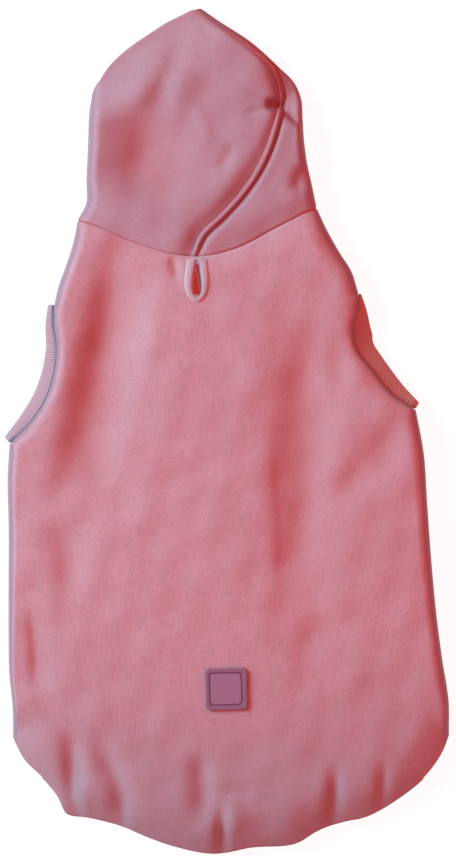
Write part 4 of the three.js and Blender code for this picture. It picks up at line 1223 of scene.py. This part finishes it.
    def under(self, points: np.ndarray, ends: list[np.ndarray], edges: list[np.ndarray]) -> np.ndarray:
        """Lower layer, flat on the table and rounded up to the edges at both sides.

        Args:
            points: Plan points of shape (rows, columns, 2).
            ends: Left and right edge points of shape (rows, 1, 2).
            edges: Heights of those edges, of shape (rows, 1).

        Returns:
            Points of shape (rows, columns, 3).
        """
        rest = self.sizes.wall / 2
        z = np.full(points.shape[:-1], rest)
        for end, edge in zip(ends, edges):
            z += (edge - rest) * (1 - bulge(length(points - end) / self.sizes.under_reach))
        return np.concatenate([points, z[..., None]], -1)


@dataclass
class Body:
    """Back and belly panels, from the neck seam to the two hems."""

    sizes: Sizes
    pattern: Pattern
    relief: Relief
    shoulder_rows: int = 26
    armhole_rows: int = 50
    flank_rows: int = 112
    over_columns: int = 150
    return_columns: int = 10
    belly_columns: int = 70
    slot_hole: float = 0.7

    def __post_init__(self) -> None:
        """Work out the rows and both grids."""
        closer = [0, 0.006, 0.015, 0.028]
        shoulder = ARMHOLE_START * np.concatenate([closer, np.linspace(0.045, 1, self.shoulder_rows)])
        armhole = np.linspace(ARMHOLE_START, FLANK_START, self.armhole_rows + 1)[1:]
        steps = 1 - (1 - np.linspace(0, 1, self.flank_rows + 1)[1:]) ** 1.12
        flank = FLANK_START + FLANK_RUN * steps
        self.v = np.concatenate([shoulder, armhole, flank])[:, None]
        self.start = len(shoulder) - 1
        self.end = self.start + len(armhole)
        rows = np.arange(len(self.v))[:, None]
        self.in_arm = (rows > self.start) & (rows <= self.end)
        z, p = self.sizes, self.pattern
        ends = [p.body_side(side, self.v) for side in Side]
        span = length(ends[1] - ends[0])
        over_edges = [self.edge_height(side, Layer.OVER) for side in Side]
        under_edges = [self.edge_height(side, Layer.UNDER) for side in Side]
        back = Plan(p.neck_line, p.hem_line, *(partial(p.body_side, side) for side in Side))
        below = Plan(p.throat_line, p.belly_line, back.left, back.right)
        left, right = (self.return_width(side) / span for side in Side)
        near = starting(self.return_columns)[None, 1:]
        across = np.broadcast_to(gathered(self.over_columns), (len(self.v), self.over_columns + 1))
        self.back = np.concatenate([
            self.relief.under(below.at(near[:, ::-1] * left, self.v), ends, under_edges),
            self.relief.over(back.at(across, self.v), ends, over_edges, False),
            self.relief.under(below.at(1 - near * right, self.v), ends, under_edges)], axis=1)
        seam = z.under_seam_gap / span
        opened = self.in_arm & (rows < self.end)
        first = np.where(opened, 0.0, left + seam)
        last = np.where(opened, 1.0, 1 - right - seam)
        even = np.linspace(0, 1, self.belly_columns + 1)[None]
        self.belly = self.relief.under(below.at(mix(first, last, even), self.v), ends,
                                       under_edges)[:, ::-1]

    def edge_height(self, side: Side, layer: Layer) -> np.ndarray:
        """Find the height of one edge: apart in the armhole, together and lower at the hem.

        Args:
            side: Left or right.
            layer: Upper or lower layer.

        Returns:
            Height in each row.
        """
        z, p = self.sizes, self.pattern
        radius = z.fold_height - z.wall / 2
        t = clamp01((self.v - ARMHOLE_START) / ARMHOLE_RUN)
        from_tip = np.minimum(t, 1 - t) * p.stretches[side][1].length
        apart = z.fold_height + layer.value * radius * bulge(from_tip / radius)
        to_hem = nearest(self.relief.hem, p.body_side(side, self.v))[0]
        closed = mix(z.hem_corner_height, z.fold_height, ease(to_hem / z.hem_slope))
        return np.where(self.in_arm, apart, closed)

    def return_width(self, side: Side) -> np.ndarray:
        """Find how far the back panel wraps under, less where it reaches the armhole.

        Args:
            side: Left or right.

        Returns:
            Width in each row.
        """
        z = self.sizes
        shoulder, _, flank = self.pattern.stretches[side]
        away = np.where(self.v <= ARMHOLE_START, (1 - self.v / ARMHOLE_START) * shoulder.length,
                        clamp01((self.v - FLANK_START) / FLANK_RUN) * flank.length)
        return mix(z.return_min, z.return_width, ease(away / (2 * z.return_width)))

    def edge_normals(self, grid: np.ndarray, column: int, up: int) -> np.ndarray:
        """Find the normals along an armhole, upright across its edge.

        Args:
            grid: Points of the panel.
            column: Where the armhole is.
            up: 1 for the upper panel, -1 for the lower one.

        Returns:
            Normals at the points between the armhole's tips.
        """
        rows = slice(self.start + 1, self.end)
        along = headings(grid, 0)[rows, column]
        flat = unit(np.stack([along[:, 1], -along[:, 0], np.zeros(len(along))], -1))
        normal = np.cross(flat, along)
        return unit(normal * np.sign(normal[:, 2:]) * up)

    def normals(self, grid: np.ndarray, columns: tuple[int, int], up: int) -> np.ndarray:
        """Find the normals of a panel, with those of its neck rim and armhole edges set.

        Args:
            grid: Points of the panel.
            columns: Where the left and right armholes are.
            up: 1 for the upper panel, -1 for the lower one.

        Returns:
            Normals at the points.
        """
        normals = rimmed(grid, 1, self.sizes.wall)
        for column in columns:
            normals[self.start + 1 : self.end, column] = self.edge_normals(grid, column, up)
        return normals

    def hemmed(self, grid: np.ndarray, normals: np.ndarray, keep: np.ndarray) -> Cloth:
        """Make a shell whose last rows turn the hem up on the inside.

        The turn is a half circle of half a wall plus half the gap, and then the panel's own
        rows once more, two radii further in.

        Args:
            grid: Points of the panel.
            normals: Its normals.
            keep: Which of its cells there are.

        Returns:
            The cloth.
        """
        z = self.sizes
        radius = (z.wall + z.gap) / 2
        last, before = grid[-1], grid[-2]
        out = last - before
        out = unit(out - np.einsum("ij,ij->i", out, normals[-1])[:, None] * normals[-1])
        turn = np.radians(np.arange(22.5, 181, 22.5))[:, None, None]
        direction = normals[-1] * np.cos(turn) + out * np.sin(turn)
        rolled = last - normals[-1] * radius + direction * radius
        spacing = float(np.median(length(last - before)))
        count = max(2, round(z.hem_turn / spacing))
        rows = np.arange(2, 2 + count)
        back = grid[-rows] - normals[-rows] * 2 * radius
        ends = [np.append(end, z.hem_corner_height) for end in self.pattern.hem_ends]
        clear = np.minimum(*[length(last - end) for end in ends]) > z.hem_turn_inset
        turned = np.repeat((clear[:-1] & clear[1:])[None], len(turn) + count, 0)
        points = np.concatenate([grid, rolled, back])
        return shell(points, np.concatenate([normals, direction, -normals[-rows]]),
                     thinned(length(points - points[:1]), z.wall), np.concatenate([keep, turned]),
                     self.relief.painted_shade(points[..., :2], False))

    def slot_share(self, points: np.ndarray) -> np.ndarray:
        """Compare the distance from the slot's centre with the binding's outer outline.

        Args:
            points: Points of the back panel.

        Returns:
            Distance as a share of the outline's distance in that direction.
        """
        z = self.sizes
        outline = np.array(SLOT)[:, :2] * (z.slot_width, z.slot_length)
        angle = np.arctan2(outline[:, 1], outline[:, 0])
        order = np.argsort(angle)
        off = points[..., :2] - self.pattern.slot_centre
        reach = np.interp(np.arctan2(off[..., 1], off[..., 0]), angle[order],
                          length(outline)[order], period=2 * math.pi)
        return length(off) / reach

    def cut_slot(self, grid: np.ndarray, share: np.ndarray) -> tuple[np.ndarray, np.ndarray]:
        """Cut the hole under the slot's binding, and pull the points at its edge to its outline.

        Args:
            grid: Points of the back panel.
            share: Their distance from the slot's centre as a share of the binding's outline.

        Returns:
            The changed points, and which cells are left.
        """
        centres = (share[:-1, :-1] + share[1:, :-1] + share[:-1, 1:] + share[1:, 1:]) / 4
        keep = centres >= self.slot_hole
        touched = np.zeros(grid.shape[:2], bool)
        whole = np.zeros(grid.shape[:2], bool)
        for rows in (slice(None, -1), slice(1, None)):
            for columns in (slice(None, -1), slice(1, None)):
                touched[rows, columns] |= ~keep
                whole[rows, columns] |= keep
        edge = touched & whole
        centre = self.pattern.slot_centre
        cut = grid.copy()
        cut[edge, :2] = centre + (grid[edge][:, :2] - centre) * (self.slot_hole / share[edge])[:, None]
        return cut, keep

    def back_panel(self, material: bpy.types.Material) -> bpy.types.Object:
        """Make the back panel, with its hole under the slot's binding.

        Args:
            material: Material of the whole panel.

        Returns:
            The new object.
        """
        left, right = self.return_columns, self.return_columns + self.over_columns
        share = self.slot_share(self.back)
        share[:, :left] = share[:, right + 1 :] = np.inf
        grid, keep = self.cut_slot(self.back, share)
        keep[self.start : self.end, :left] = False
        keep[self.start : self.end, right:] = False
        return self.hemmed(grid, self.normals(grid, (left, right), 1), keep).build(
            "back_fleece", material)

    def belly_panel(self, material: bpy.types.Material) -> bpy.types.Object:
        """Make the belly panel.

        Args:
            material: Material of the whole panel.

        Returns:
            The new object.
        """
        normals = self.normals(self.belly, (0, self.belly_columns), -1)
        keep = np.ones(tuple(n - 1 for n in self.belly.shape[:2]), bool)
        return self.hemmed(self.belly, normals, keep).build("belly_fleece", material)


@dataclass
class Hood:
    """Two side panels that meet on the centre seam and under the throat."""

    sizes: Sizes
    pattern: Pattern
    relief: Relief
    rows: int = 120
    left_over: int = 110
    left_under: int = 36
    right_over: int = 56
    right_under: int = 44

    def __post_init__(self) -> None:
        """Work out both grids and their shared normals."""
        z, p, relief = self.sizes, self.pattern, self.relief
        self.v = np.concatenate([[0, 0.0015, 0.004, 0.007], np.linspace(0.011, 0.985, self.rows),
                                 [0.991, 0.996, 1.0]])[:, None]
        left_fold, right_fold = (partial(p.hood_side, side) for side in Side)
        ends = [left_fold(self.v), right_fold(self.v)]
        edges = [np.full_like(self.v, z.fold_height)] * 2
        left_top, seam_top, right_top = left_fold(1.0), p.seam.at(1.0), right_fold(1.0)
        face = between(p.face, left_top, seam_top)

        def face_whole(u: np.ndarray) -> np.ndarray:
            """Face edge stretched to the right fold."""
            return straight(left_top, right_top)(u) + face(u) - straight(left_top, seam_top)(u)

        left_plan = Plan(lambda u: p.neck_line(u * p.nape), face, left_fold, p.seam.at)
        right_plan = Plan(lambda u: p.neck_line(mix(p.nape, 1.0, u)), straight(seam_top, right_top),
                          p.seam.at, right_fold)
        under_plan = Plan(p.throat_line, face_whole, left_fold, right_fold)

        def over(plan: Plan, u: np.ndarray) -> np.ndarray:
            """Upper layer at shares across its plan."""
            return self.lift(relief.over(plan.at(u, self.v), ends, edges, True), ends, z.gap)

        def under(u: np.ndarray) -> np.ndarray:
            """Lower layer at shares across."""
            plan = under_plan.at(u, self.v)
            return self.lift(relief.under(plan, ends, edges), ends, z.throat_gap)

        def closer(count: int) -> np.ndarray:
            """Shares up to 1, closer at the fold, which they leave out."""
            return np.linspace(0, 1, count + 1)[1:][None] ** 1.8

        across = Curve(np.array(THROAT_SEAM)).at(self.v[:, 0])[:, 1:]
        half = z.crease_gap / 2 / length(ends[1] - ends[0])
        seam = p.seam.at(self.v)
        left_gap, right_gap = (z.crease_gap / 2 / length(seam - end) for end in ends)
        self.left = np.concatenate([
            under(closer(self.left_under)[:, ::-1] * (across - half)),
            over(left_plan, gathered(self.left_over, 1.5)[None] * (1 - left_gap))], axis=1)
        strip = length(seam - ends[1])
        steps = mix(np.linspace(0, 1, self.right_over + 1)[None],
                    gathered(self.right_over, 1.5)[None], ease(strip / z.fold_reach))
        self.right = np.concatenate([
            over(right_plan, mix(right_gap, 1.0, steps)),
            under(1 - closer(self.right_under) * (1 - across - half))], axis=1)
        self.share_normals(strip)

    def lift(self, points: np.ndarray, ends: list[np.ndarray], gap: float) -> np.ndarray:
        """Move points away from the neck seam by its gap, which fades along the hood.

        Args:
            points: Points of one layer.
            ends: Its left and right edge points.
            gap: Gap away from the folds.

        Returns:
            The moved points.
        """
        z = self.sizes
        to_fold = np.minimum(*[length(points[..., :2] - end) for end in ends])
        lifted = points.copy()
        lifted[..., 1] += mix(z.fold_gap, gap, ease(to_fold / z.fold_reach)) * (1 - self.v) ** 2
        return lifted

    def share_normals(self, strip: np.ndarray) -> None:
        """Set the normals of both panels, the mean of both along the centre seam.

        Args:
            strip: Width of the right panel's upper part in each row.
        """
        z = self.sizes
        left, right = (rimmed(grid, -1, z.wall) for grid in (self.left, self.right))
        shared = unit(left[:, -1] + right[:, 0])[:, None]

        def joined(grid: np.ndarray, normals: np.ndarray, column: slice) -> np.ndarray:
            """Normals that turn to the shared ones at the column on the seam."""
            near = ease(length(grid - grid[:, column]) / (1.2 * z.wall))[..., None]
            return unit(mix(shared, normals, near))

        self.left_normals = joined(self.left, left, slice(-1, None))
        right = joined(self.right, right, slice(0, 1))
        fold = self.right_over
        slim = (1 - ease((strip - 2 * z.wall) / z.fold_reach))[..., None]
        share = (np.arange(fold + 1) / fold)[None, :, None]
        turned = mix(right[:, :1], right[:, fold : fold + 1], share)
        right[:, : fold + 1] = unit(mix(right[:, : fold + 1], turned, slim))
        self.right_normals = right

    def build(self, side: Side, material: bpy.types.Material) -> bpy.types.Object:
        """Make one panel.

        Args:
            side: Left or right.
            material: Material of the whole panel.

        Returns:
            The new object.
        """
        grid, normals = ((self.left, self.left_normals) if side is Side.LEFT
                         else (self.right, self.right_normals))
        to_rim = np.minimum(length(grid - grid[:1]), length(grid - grid[-1:]))
        keep = np.ones(tuple(n - 1 for n in grid.shape[:2]), bool)
        cloth = shell(grid, normals, thinned(to_rim, self.sizes.wall), keep,
                      self.relief.painted_shade(grid[..., :2], True))
        return cloth.build(f"hood_{side.name.lower()}_fleece", material)


@dataclass
class Armband:
    """Ribbed band round one armhole: a closed strip whose ribs run away from the body.

    The two powers blunt the ends and the faces of its section. The run of the armhole at a point
    is taken from one part of so many before it to one part after it.
    """

    sizes: Sizes
    pattern: Pattern
    body: Body
    side: Side
    # Strength of the painted shadow along the inner edge
    gap_shade_cover: float = 1.0
    rib_steps: int = 8
    section_points: int = 14
    end_power: float = 0.5
    face_power: float = 0.55
    run_part: int = 11
    small_step: float = 1e-5

    def __post_init__(self) -> None:
        """Measure the armhole's edge and the loop round it."""
        z = self.sizes
        column = self.body.return_columns
        if self.side is Side.RIGHT:
            column += self.body.over_columns
        self.line = self.body.back[self.body.start : self.body.end + 1, column, :2]
        self.knots = lengths_along(self.line)
        self.total = self.knots[-1]
        self.radius = z.fold_height - z.wall / 2
        self.start = z.wall / 2 + z.gap + self.radius
        self.straight = self.total - 2 * (z.wall / 2 + z.gap) - 2 * self.radius
        self.turn = math.pi * self.radius

    def plan(self, way: np.ndarray) -> np.ndarray:
        """Point of the armhole's edge at a way along it."""
        return np.stack([np.interp(way, self.knots, self.line[:, n]) for n in range(2)], -1)

    def around(self, distance: np.ndarray) -> tuple[np.ndarray, np.ndarray]:
        """Follow the loop: along the upper edge of the armhole, round a half circle, back along
        the lower edge and round again.

        Args:
            distance: Distances round the loop.

        Returns:
            Way along the armhole, and height over the middle of the loop.
        """
        start, straight, radius, turn = self.start, self.straight, self.radius, self.turn
        first = (distance - straight) / radius
        second = (distance - 2 * straight - turn) / radius
        level = np.full_like(distance, radius)
        which = [distance < straight, distance < straight + turn, distance < 2 * straight + turn]
        way = np.select(which, [start + distance, start + straight + radius * np.sin(first),
                                start + straight - (distance - straight - turn)],
                        start - radius * np.sin(second))
        up = np.select(which, [level, radius * np.cos(first), -level], -radius * np.cos(second))
        return way, up

    def outer_width(self, way: np.ndarray) -> np.ndarray:
        """Width of the band at a way along the armhole, from the table."""
        armhole = self.pattern.stretches[self.side][1]
        shares = np.array([armhole.share(k) for k in range(len(ARMHOLE))])
        table = np.array(ARMHOLE)[:, 2 if self.side is Side.LEFT else 5] * self.sizes.armband_width
        return Curve(np.stack([shares, table], -1)).at(clamp01(way / self.total))[:, 1]

    def directions(self, distance: np.ndarray, loop: float) -> tuple[np.ndarray, np.ndarray]:
        """Find the directions that the sections are laid out in.

        Args:
            distance: Distances round the loop.
            loop: Length of the loop.

        Returns:
            Directions away from the body and square to the band.
        """
        way, up = self.around(distance)
        ahead_way, ahead_up = self.around((distance + self.small_step) % loop)
        reach = self.total / self.run_part
        run = self.plan(np.minimum(self.total, way + reach)) - self.plan(np.maximum(0, way - reach))
        out = unit(np.stack([-run[:, 1], run[:, 0], np.zeros(len(run))], -1)) * self.side.value
        step = self.plan(ahead_way) - self.plan(way)
        along = unit(np.concatenate([step, (ahead_up - up)[:, None]], -1))
        return out, unit(np.cross(along, out)) * -self.side.value

    def build(self, material: bpy.types.Material) -> bpy.types.Object:
        """Make the band.

        At each step round the loop a rounded section reaches from the armhole's edge to the
        width in the table, thinner between the ribs. The upper half droops outwards.

        Args:
            material: Material of the whole band.

        Returns:
            The new object.
        """
        z = self.sizes
        loop = 2 * self.straight + 2 * self.turn
        count = round(loop / z.rib_pitch) * self.rib_steps
        k = np.arange(count)
        distance = k / count * loop
        way, up = self.around(distance)
        out, normal = self.directions(distance, loop)
        from_tip = np.minimum(way, self.total - way)
        near = mix(z.tip_gap, z.band_gap, ease(from_tip / (2 * self.radius)))[:, None]
        deep = 0.5 - 0.5 * np.cos(2 * np.pi * k / self.rib_steps)
        half = (z.armband_wall - z.rib_depth * deep) / 2
        angle, across = section(self.section_points, self.end_power)
        lift = signed_power(np.sin(angle), self.face_power)
        reach = mix(near, self.outer_width(way)[:, None], across[None])
        centre = np.concatenate([self.plan(way), (z.fold_height + up)[:, None]], -1)[:, None]
        rings = (centre + out[:, None] * reach[..., None]
                 + normal[:, None] * (half[:, None] * lift)[..., None])
        rings[..., 2] -= z.band_droop * reach * ((up + self.radius) / (2 * self.radius))[:, None]
        uv = np.stack([np.broadcast_to(distance[:, None], reach.shape), reach], -1)
        # Painted shadow along the inner edge, in the gap by the body
        gap_shadow = (1 - ease((reach - near - z.gap_shade_width) / z.gap_shade_fade)) * self.gap_shade_cover
        # The mark deep paints shade into the rib valleys
        marks = {"deep": np.broadcast_to(deep[:, None], reach.shape), "gap_shadow": gap_shadow}
        return tube(rings, uv, marks).build(f"armband_{self.side.name.lower()}_rib", material)


@dataclass
class SlotBinding:
    """Rolled strip of cloth round the leash slot.

    upper and lower are the halves of its section as shares of the wall. Painted shade darkens the
    inner edge on the right of the slot, up to its end share of the way across, and fades before that.
    """

    sizes: Sizes
    pattern: Pattern
    relief: Relief
    around: int = 180
    section_points: int = 20
    end_power: float = 0.85
    upper: float = 0.66
    lower: float = 0.5
    strip_width: float = 0.006
    slit_shade_end: float = 0.2
    slit_shade_fade: float = 0.12
    slit_shade_side: float = 0.001

    def build(self, material: bpy.types.Material) -> bpy.types.Object:
        """Make the ring: a rounded section between the inner and the outer outline.

        Args:
            material: Material of the whole ring.

        Returns:
            The new object.
        """
        z = self.sizes
        table = np.array(SLOT)
        scale = np.array([z.slot_width, z.slot_length])
        rows = np.arange(-3, len(table) + 3) % len(table)
        share = np.arange(self.around) / self.around * len(table) + 3
        outer, inner = (Curve(outline[rows] * scale).at_place(share) + self.pattern.slot_centre
                        for outline in (table[:, :2], table[:, 2:]))
        angle, across = section(self.section_points, self.end_power)
        up = np.where(np.sin(angle) > 0, self.upper, self.lower) * np.sin(angle)
        plan = mix(inner[:, None], outer[:, None], across[None, :, None])
        height = self.relief.top(plan, False) + up * z.slot_wall
        rings = np.concatenate([plan, height[..., None]], -1)
        along = np.broadcast_to((share * z.slot_length / 4)[:, None], height.shape)
        uv = np.stack([along, np.broadcast_to(across * self.strip_width, height.shape)], -1)
        # Painted shade on the inner edge, on the right of the slot only
        right = ease((plan[..., 0] - self.pattern.slot_centre[0]) / self.slit_shade_side)
        slit_shade = ease((self.slit_shade_end - across) / self.slit_shade_fade)[None] * right
        return tube(rings, uv, {"slit_shade": slit_shade}).build("slot_binding_strip", material)


@dataclass
class LabelPatch:
    """Bare square patch of rubber with a grooved frame.

    Its edge is rounded by so many metres. Rings of points follow the edge, the groove over
    groove_span of its width, and the face from face_start inside the frame to face_end of the
    way to the centre.
    """

    sizes: Sizes
    pattern: Pattern
    relief: Relief
    corner_steps: int = 14
    side_steps: int = 30
    edge_steps: int = 7
    groove_steps: int = 13
    face_steps: int = 12
    edge: float = 0.0005
    groove_span: float = 1.6
    face_start: float = 0.0012
    face_end: float = 0.97

    def outline(self) -> np.ndarray:
        """Square with round corners, as directions whose half side is 1."""
        z = self.sizes
        corner = z.patch_corner / (z.patch_size / 2)
        points = []
        for k in range(4):
            turn = k * math.pi / 2 + np.linspace(0, math.pi / 2, self.corner_steps)
            base = k * math.pi / 2 + math.pi / 4
            middle = (1 - corner) * math.sqrt(2) * np.array([math.cos(base), math.sin(base)])
            points.append(middle + corner * np.stack([np.cos(turn), np.sin(turn)], -1))
        loop = np.concatenate(points + [points[0][:1]])
        knots = lengths_along(loop)
        at = np.linspace(0, knots[-1], 4 * (self.corner_steps + self.side_steps) + 1)[:-1]
        return np.stack([np.interp(at, knots, loop[:, n]) for n in range(2)], -1)

    def profile(self) -> tuple[np.ndarray, np.ndarray]:
        """Follow the section from the lower rim over the rounded edge and the groove inwards.

        Returns:
            How far each ring lies inside the outline, and its height.
        """
        z = self.sizes
        rounding = np.linspace(0, math.pi / 2, self.edge_steps)
        groove = np.linspace(0, 1, self.groove_steps)
        face = np.linspace(z.patch_frame + self.face_start, z.patch_size / 2 * self.face_end,
                           self.face_steps)
        inset = [[0.0, 0.0], self.edge * (1 - np.cos(rounding)),
                 z.patch_frame + z.groove_width * (groove - 0.5) * self.groove_span, face]
        height = [[0.0, self.edge], z.patch_wall - self.edge + self.edge * np.sin(rounding),
                  z.patch_wall - z.groove_depth * np.sin(np.pi * groove) ** 2,
                  np.full_like(face, z.patch_wall)]
        return np.concatenate(inset), np.concatenate(height)

    def build(self, material: bpy.types.Material) -> bpy.types.Object:
        """Make the patch: rings of the outline at falling sizes, closed by two centres.

        Args:
            material: Material of the whole patch.

        Returns:
            The new object.
        """
        z, middle = self.sizes, self.pattern.patch_centre
        inset, height = self.profile()
        size = (z.patch_size / 2 - inset)[:, None, None]
        outline = self.outline()
        c, s = math.cos(math.radians(z.patch_turn)), math.sin(math.radians(z.patch_turn))
        base = self.relief.patch_height + z.wall / 2 + z.gap
        plan = middle + (outline @ np.array([[c, s], [-s, c]]))[None] * size
        level = np.broadcast_to((base + height)[:, None, None], (*plan.shape[:2], 1))
        rings, count = plan.shape[:2]
        here = np.arange(rings * count).reshape(rings, count)
        beside = np.roll(here, -1, 1)
        quads = np.stack([here[:-1], beside[:-1], beside[1:], here[1:]], -1)
        triangles = np.concatenate([
            np.stack([np.full(count, rings * count), beside[0], here[0]], -1),
            np.stack([np.full(count, rings * count + 1), here[-1], beside[-1]], -1)])
        poles = np.array([[*middle, base], [*middle, base + z.patch_wall]])
        # Painted shade in the groove; the frame outside it is darker too
        deep = bell((inset - z.patch_frame) / (0.7 * z.groove_width))
        deep += np.where(inset < z.patch_frame, 0.3, 0.0)
        cloth = Cloth(
            points=np.concatenate([np.concatenate([plan, level], -1).reshape(-1, 3), poles]),
            quads=quads.reshape(-1, 4),
            uv=np.concatenate([(outline[None] * size).reshape(-1, 2), np.zeros((2, 2))]),
            marks={"deep": np.append(np.repeat(clamp01(deep), count), [0.0, 0.0])},
            triangles=triangles,
        )
        return cloth.build("label_patch_rubber", material)


@dataclass(frozen=True)
class Studio:
    """Overhead camera and soft lights."""

    distance: float = 1.6
    view_height: float = 0.6163
    centre: tuple[float, float, float] = (0.0009, 0.0017, 0.01)
    sensor: float = 36.0
    sky: Colour = (1.0, 0.33, 0.29)
    sky_strength: float = 0.7

    def build(self) -> None:
        """Make the camera and the lights."""
        scene = bpy.context.scene
        data = bpy.data.cameras.new("overhead")
        data.sensor_fit = "AUTO"
        data.sensor_width = self.sensor
        data.lens = self.sensor * self.distance / self.view_height
        camera = bpy.data.objects.new("overhead", data)
        camera.location = (self.centre[0], self.centre[1], self.centre[2] + self.distance)
        scene.collection.objects.link(camera)
        scene.camera = camera
        self.light("key", (-1.4, 0.5, 0.66), 0.7, 53.0, (0.24, 0.96, 1.0))
        self.light("warm", (1.3, -0.5, 0.9), 0.9, 3.0, (1.0, 0.2, 0.12))
        world = bpy.data.worlds.new("studio")
        world.use_nodes = True
        inputs = world.node_tree.nodes["Background"].inputs
        inputs["Color"].default_value = opaque(self.sky)
        inputs["Strength"].default_value = self.sky_strength
        scene.world = world
        scene.view_settings.view_transform = "Standard"

    def light(self, name: str, place: tuple[float, float, float], size: float, power: float,
              colour: Colour) -> None:
        """Add a square area light that faces the garment.

        Args:
            name: Name of the light.
            place: Where it stands.
            size: Length of its side.
            power: Its power in watts.
            colour: Its colour.
        """
        data = bpy.data.lights.new(name, "AREA")
        data.size, data.energy, data.color = size, power, colour
        lamp = bpy.data.objects.new(name, data)
        lamp.location = place
        lamp.rotation_euler = (-Vector(place)).to_track_quat("-Z", "Y").to_euler()
        bpy.context.scene.collection.objects.link(lamp)


def place_in_frame(piece: bpy.types.Object, shift: np.ndarray) -> None:
    """Move a piece's points from the pattern, whose origin is the nape, into the frame.

    Args:
        piece: Object to change.
        shift: Way to the nape's place in the frame.
    """
    mesh = piece.data
    points = np.empty(len(mesh.vertices) * 3, np.float32)
    mesh.vertices.foreach_get("co", points)
    points = points.reshape(-1, 3) + shift.astype(np.float32)
    mesh.vertices.foreach_set("co", points.ravel())
    mesh.update()


def frame_shift(pattern: Pattern) -> np.ndarray:
    """Way from the pattern's nape to its place in the frame, found from the label patch."""
    low, high = (np.array(corner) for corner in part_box("label_patch"))
    middle = (low + high) / 2
    return np.array([middle[0] - pattern.patch_centre[0], middle[1] - pattern.patch_centre[1], 0.0])


def main() -> None:
    """Build every piece in order, place it, and report it."""
    logging.basicConfig(level=logging.INFO, format="%(message)s")
    sizes = Sizes()
    pattern = Pattern(sizes)
    relief = Relief(sizes, pattern)
    body = Body(sizes, pattern, relief)
    hood = Hood(sizes, pattern, relief)
    shift = frame_shift(pattern)

    back = Fleece("back_fleece", (0.71, 0.28, 0.348), (0.66, 0.246, 0.304)).material()
    belly = Fleece("belly_fleece", (0.68, 0.267, 0.33), (0.64, 0.24, 0.3)).material()
    # Darker copy of the fleece for the hood: painted shade
    head = Fleece("hood_fleece", (0.575, 0.238, 0.314), (0.532, 0.208, 0.27)).material()
    rib = RibKnit("rib_knit", (0.62, 0.27, 0.33), (0.46, 0.15, 0.19), (0.1, 0.1, 0.18)).material()
    # Redder copy of the rib knit for the right band: painted shade
    shaded_rib = RibKnit("rib_knit_shaded", (0.66, 0.24, 0.24), (0.5, 0.12, 0.13),
                       (0.16, 0.08, 0.1)).material()
    strip = Strip("binding_strip", (0.68, 0.33, 0.4), (0.6, 0.25, 0.31)).material()
    rubber = Rubber("patch_rubber", (0.4, 0.14, 0.25), (0.22, 0.06, 0.12)).material()

    pieces = [
        (body.back_panel(back), "back_panel", "fleece_back"),
        (body.belly_panel(belly), "belly_panel", "fleece_belly"),
        (hood.build(Side.LEFT, head), "hood_left_panel", "fleece_hood"),
        (hood.build(Side.RIGHT, head), "hood_right_panel", "fleece_hood"),
        (Armband(sizes, pattern, body, Side.LEFT).build(rib), "armband_left", "rib_knit"),
        # The right band's painted shadow along its inner edge is fainter
        (Armband(sizes, pattern, body, Side.RIGHT, gap_shade_cover=0.3).build(shaded_rib), "armband_right",
         "rib_knit"),
        (SlotBinding(sizes, pattern, relief).build(strip), "leash_slot_binding", "binding_strip"),
        (LabelPatch(sizes, pattern, relief).build(rubber), "label_patch", "patch_rubber"),
    ]
    for piece, node, slot in pieces:
        place_in_frame(piece, shift)
        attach(piece, "root")
        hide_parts(node)
        mesh = piece.data
        mesh.calc_loop_triangles()
        log.info("%s: %d triangles for %s", piece.name, len(mesh.loop_triangles), node)

    Floor().build()
    Studio().build()


if __name__ == "__main__":
    main()
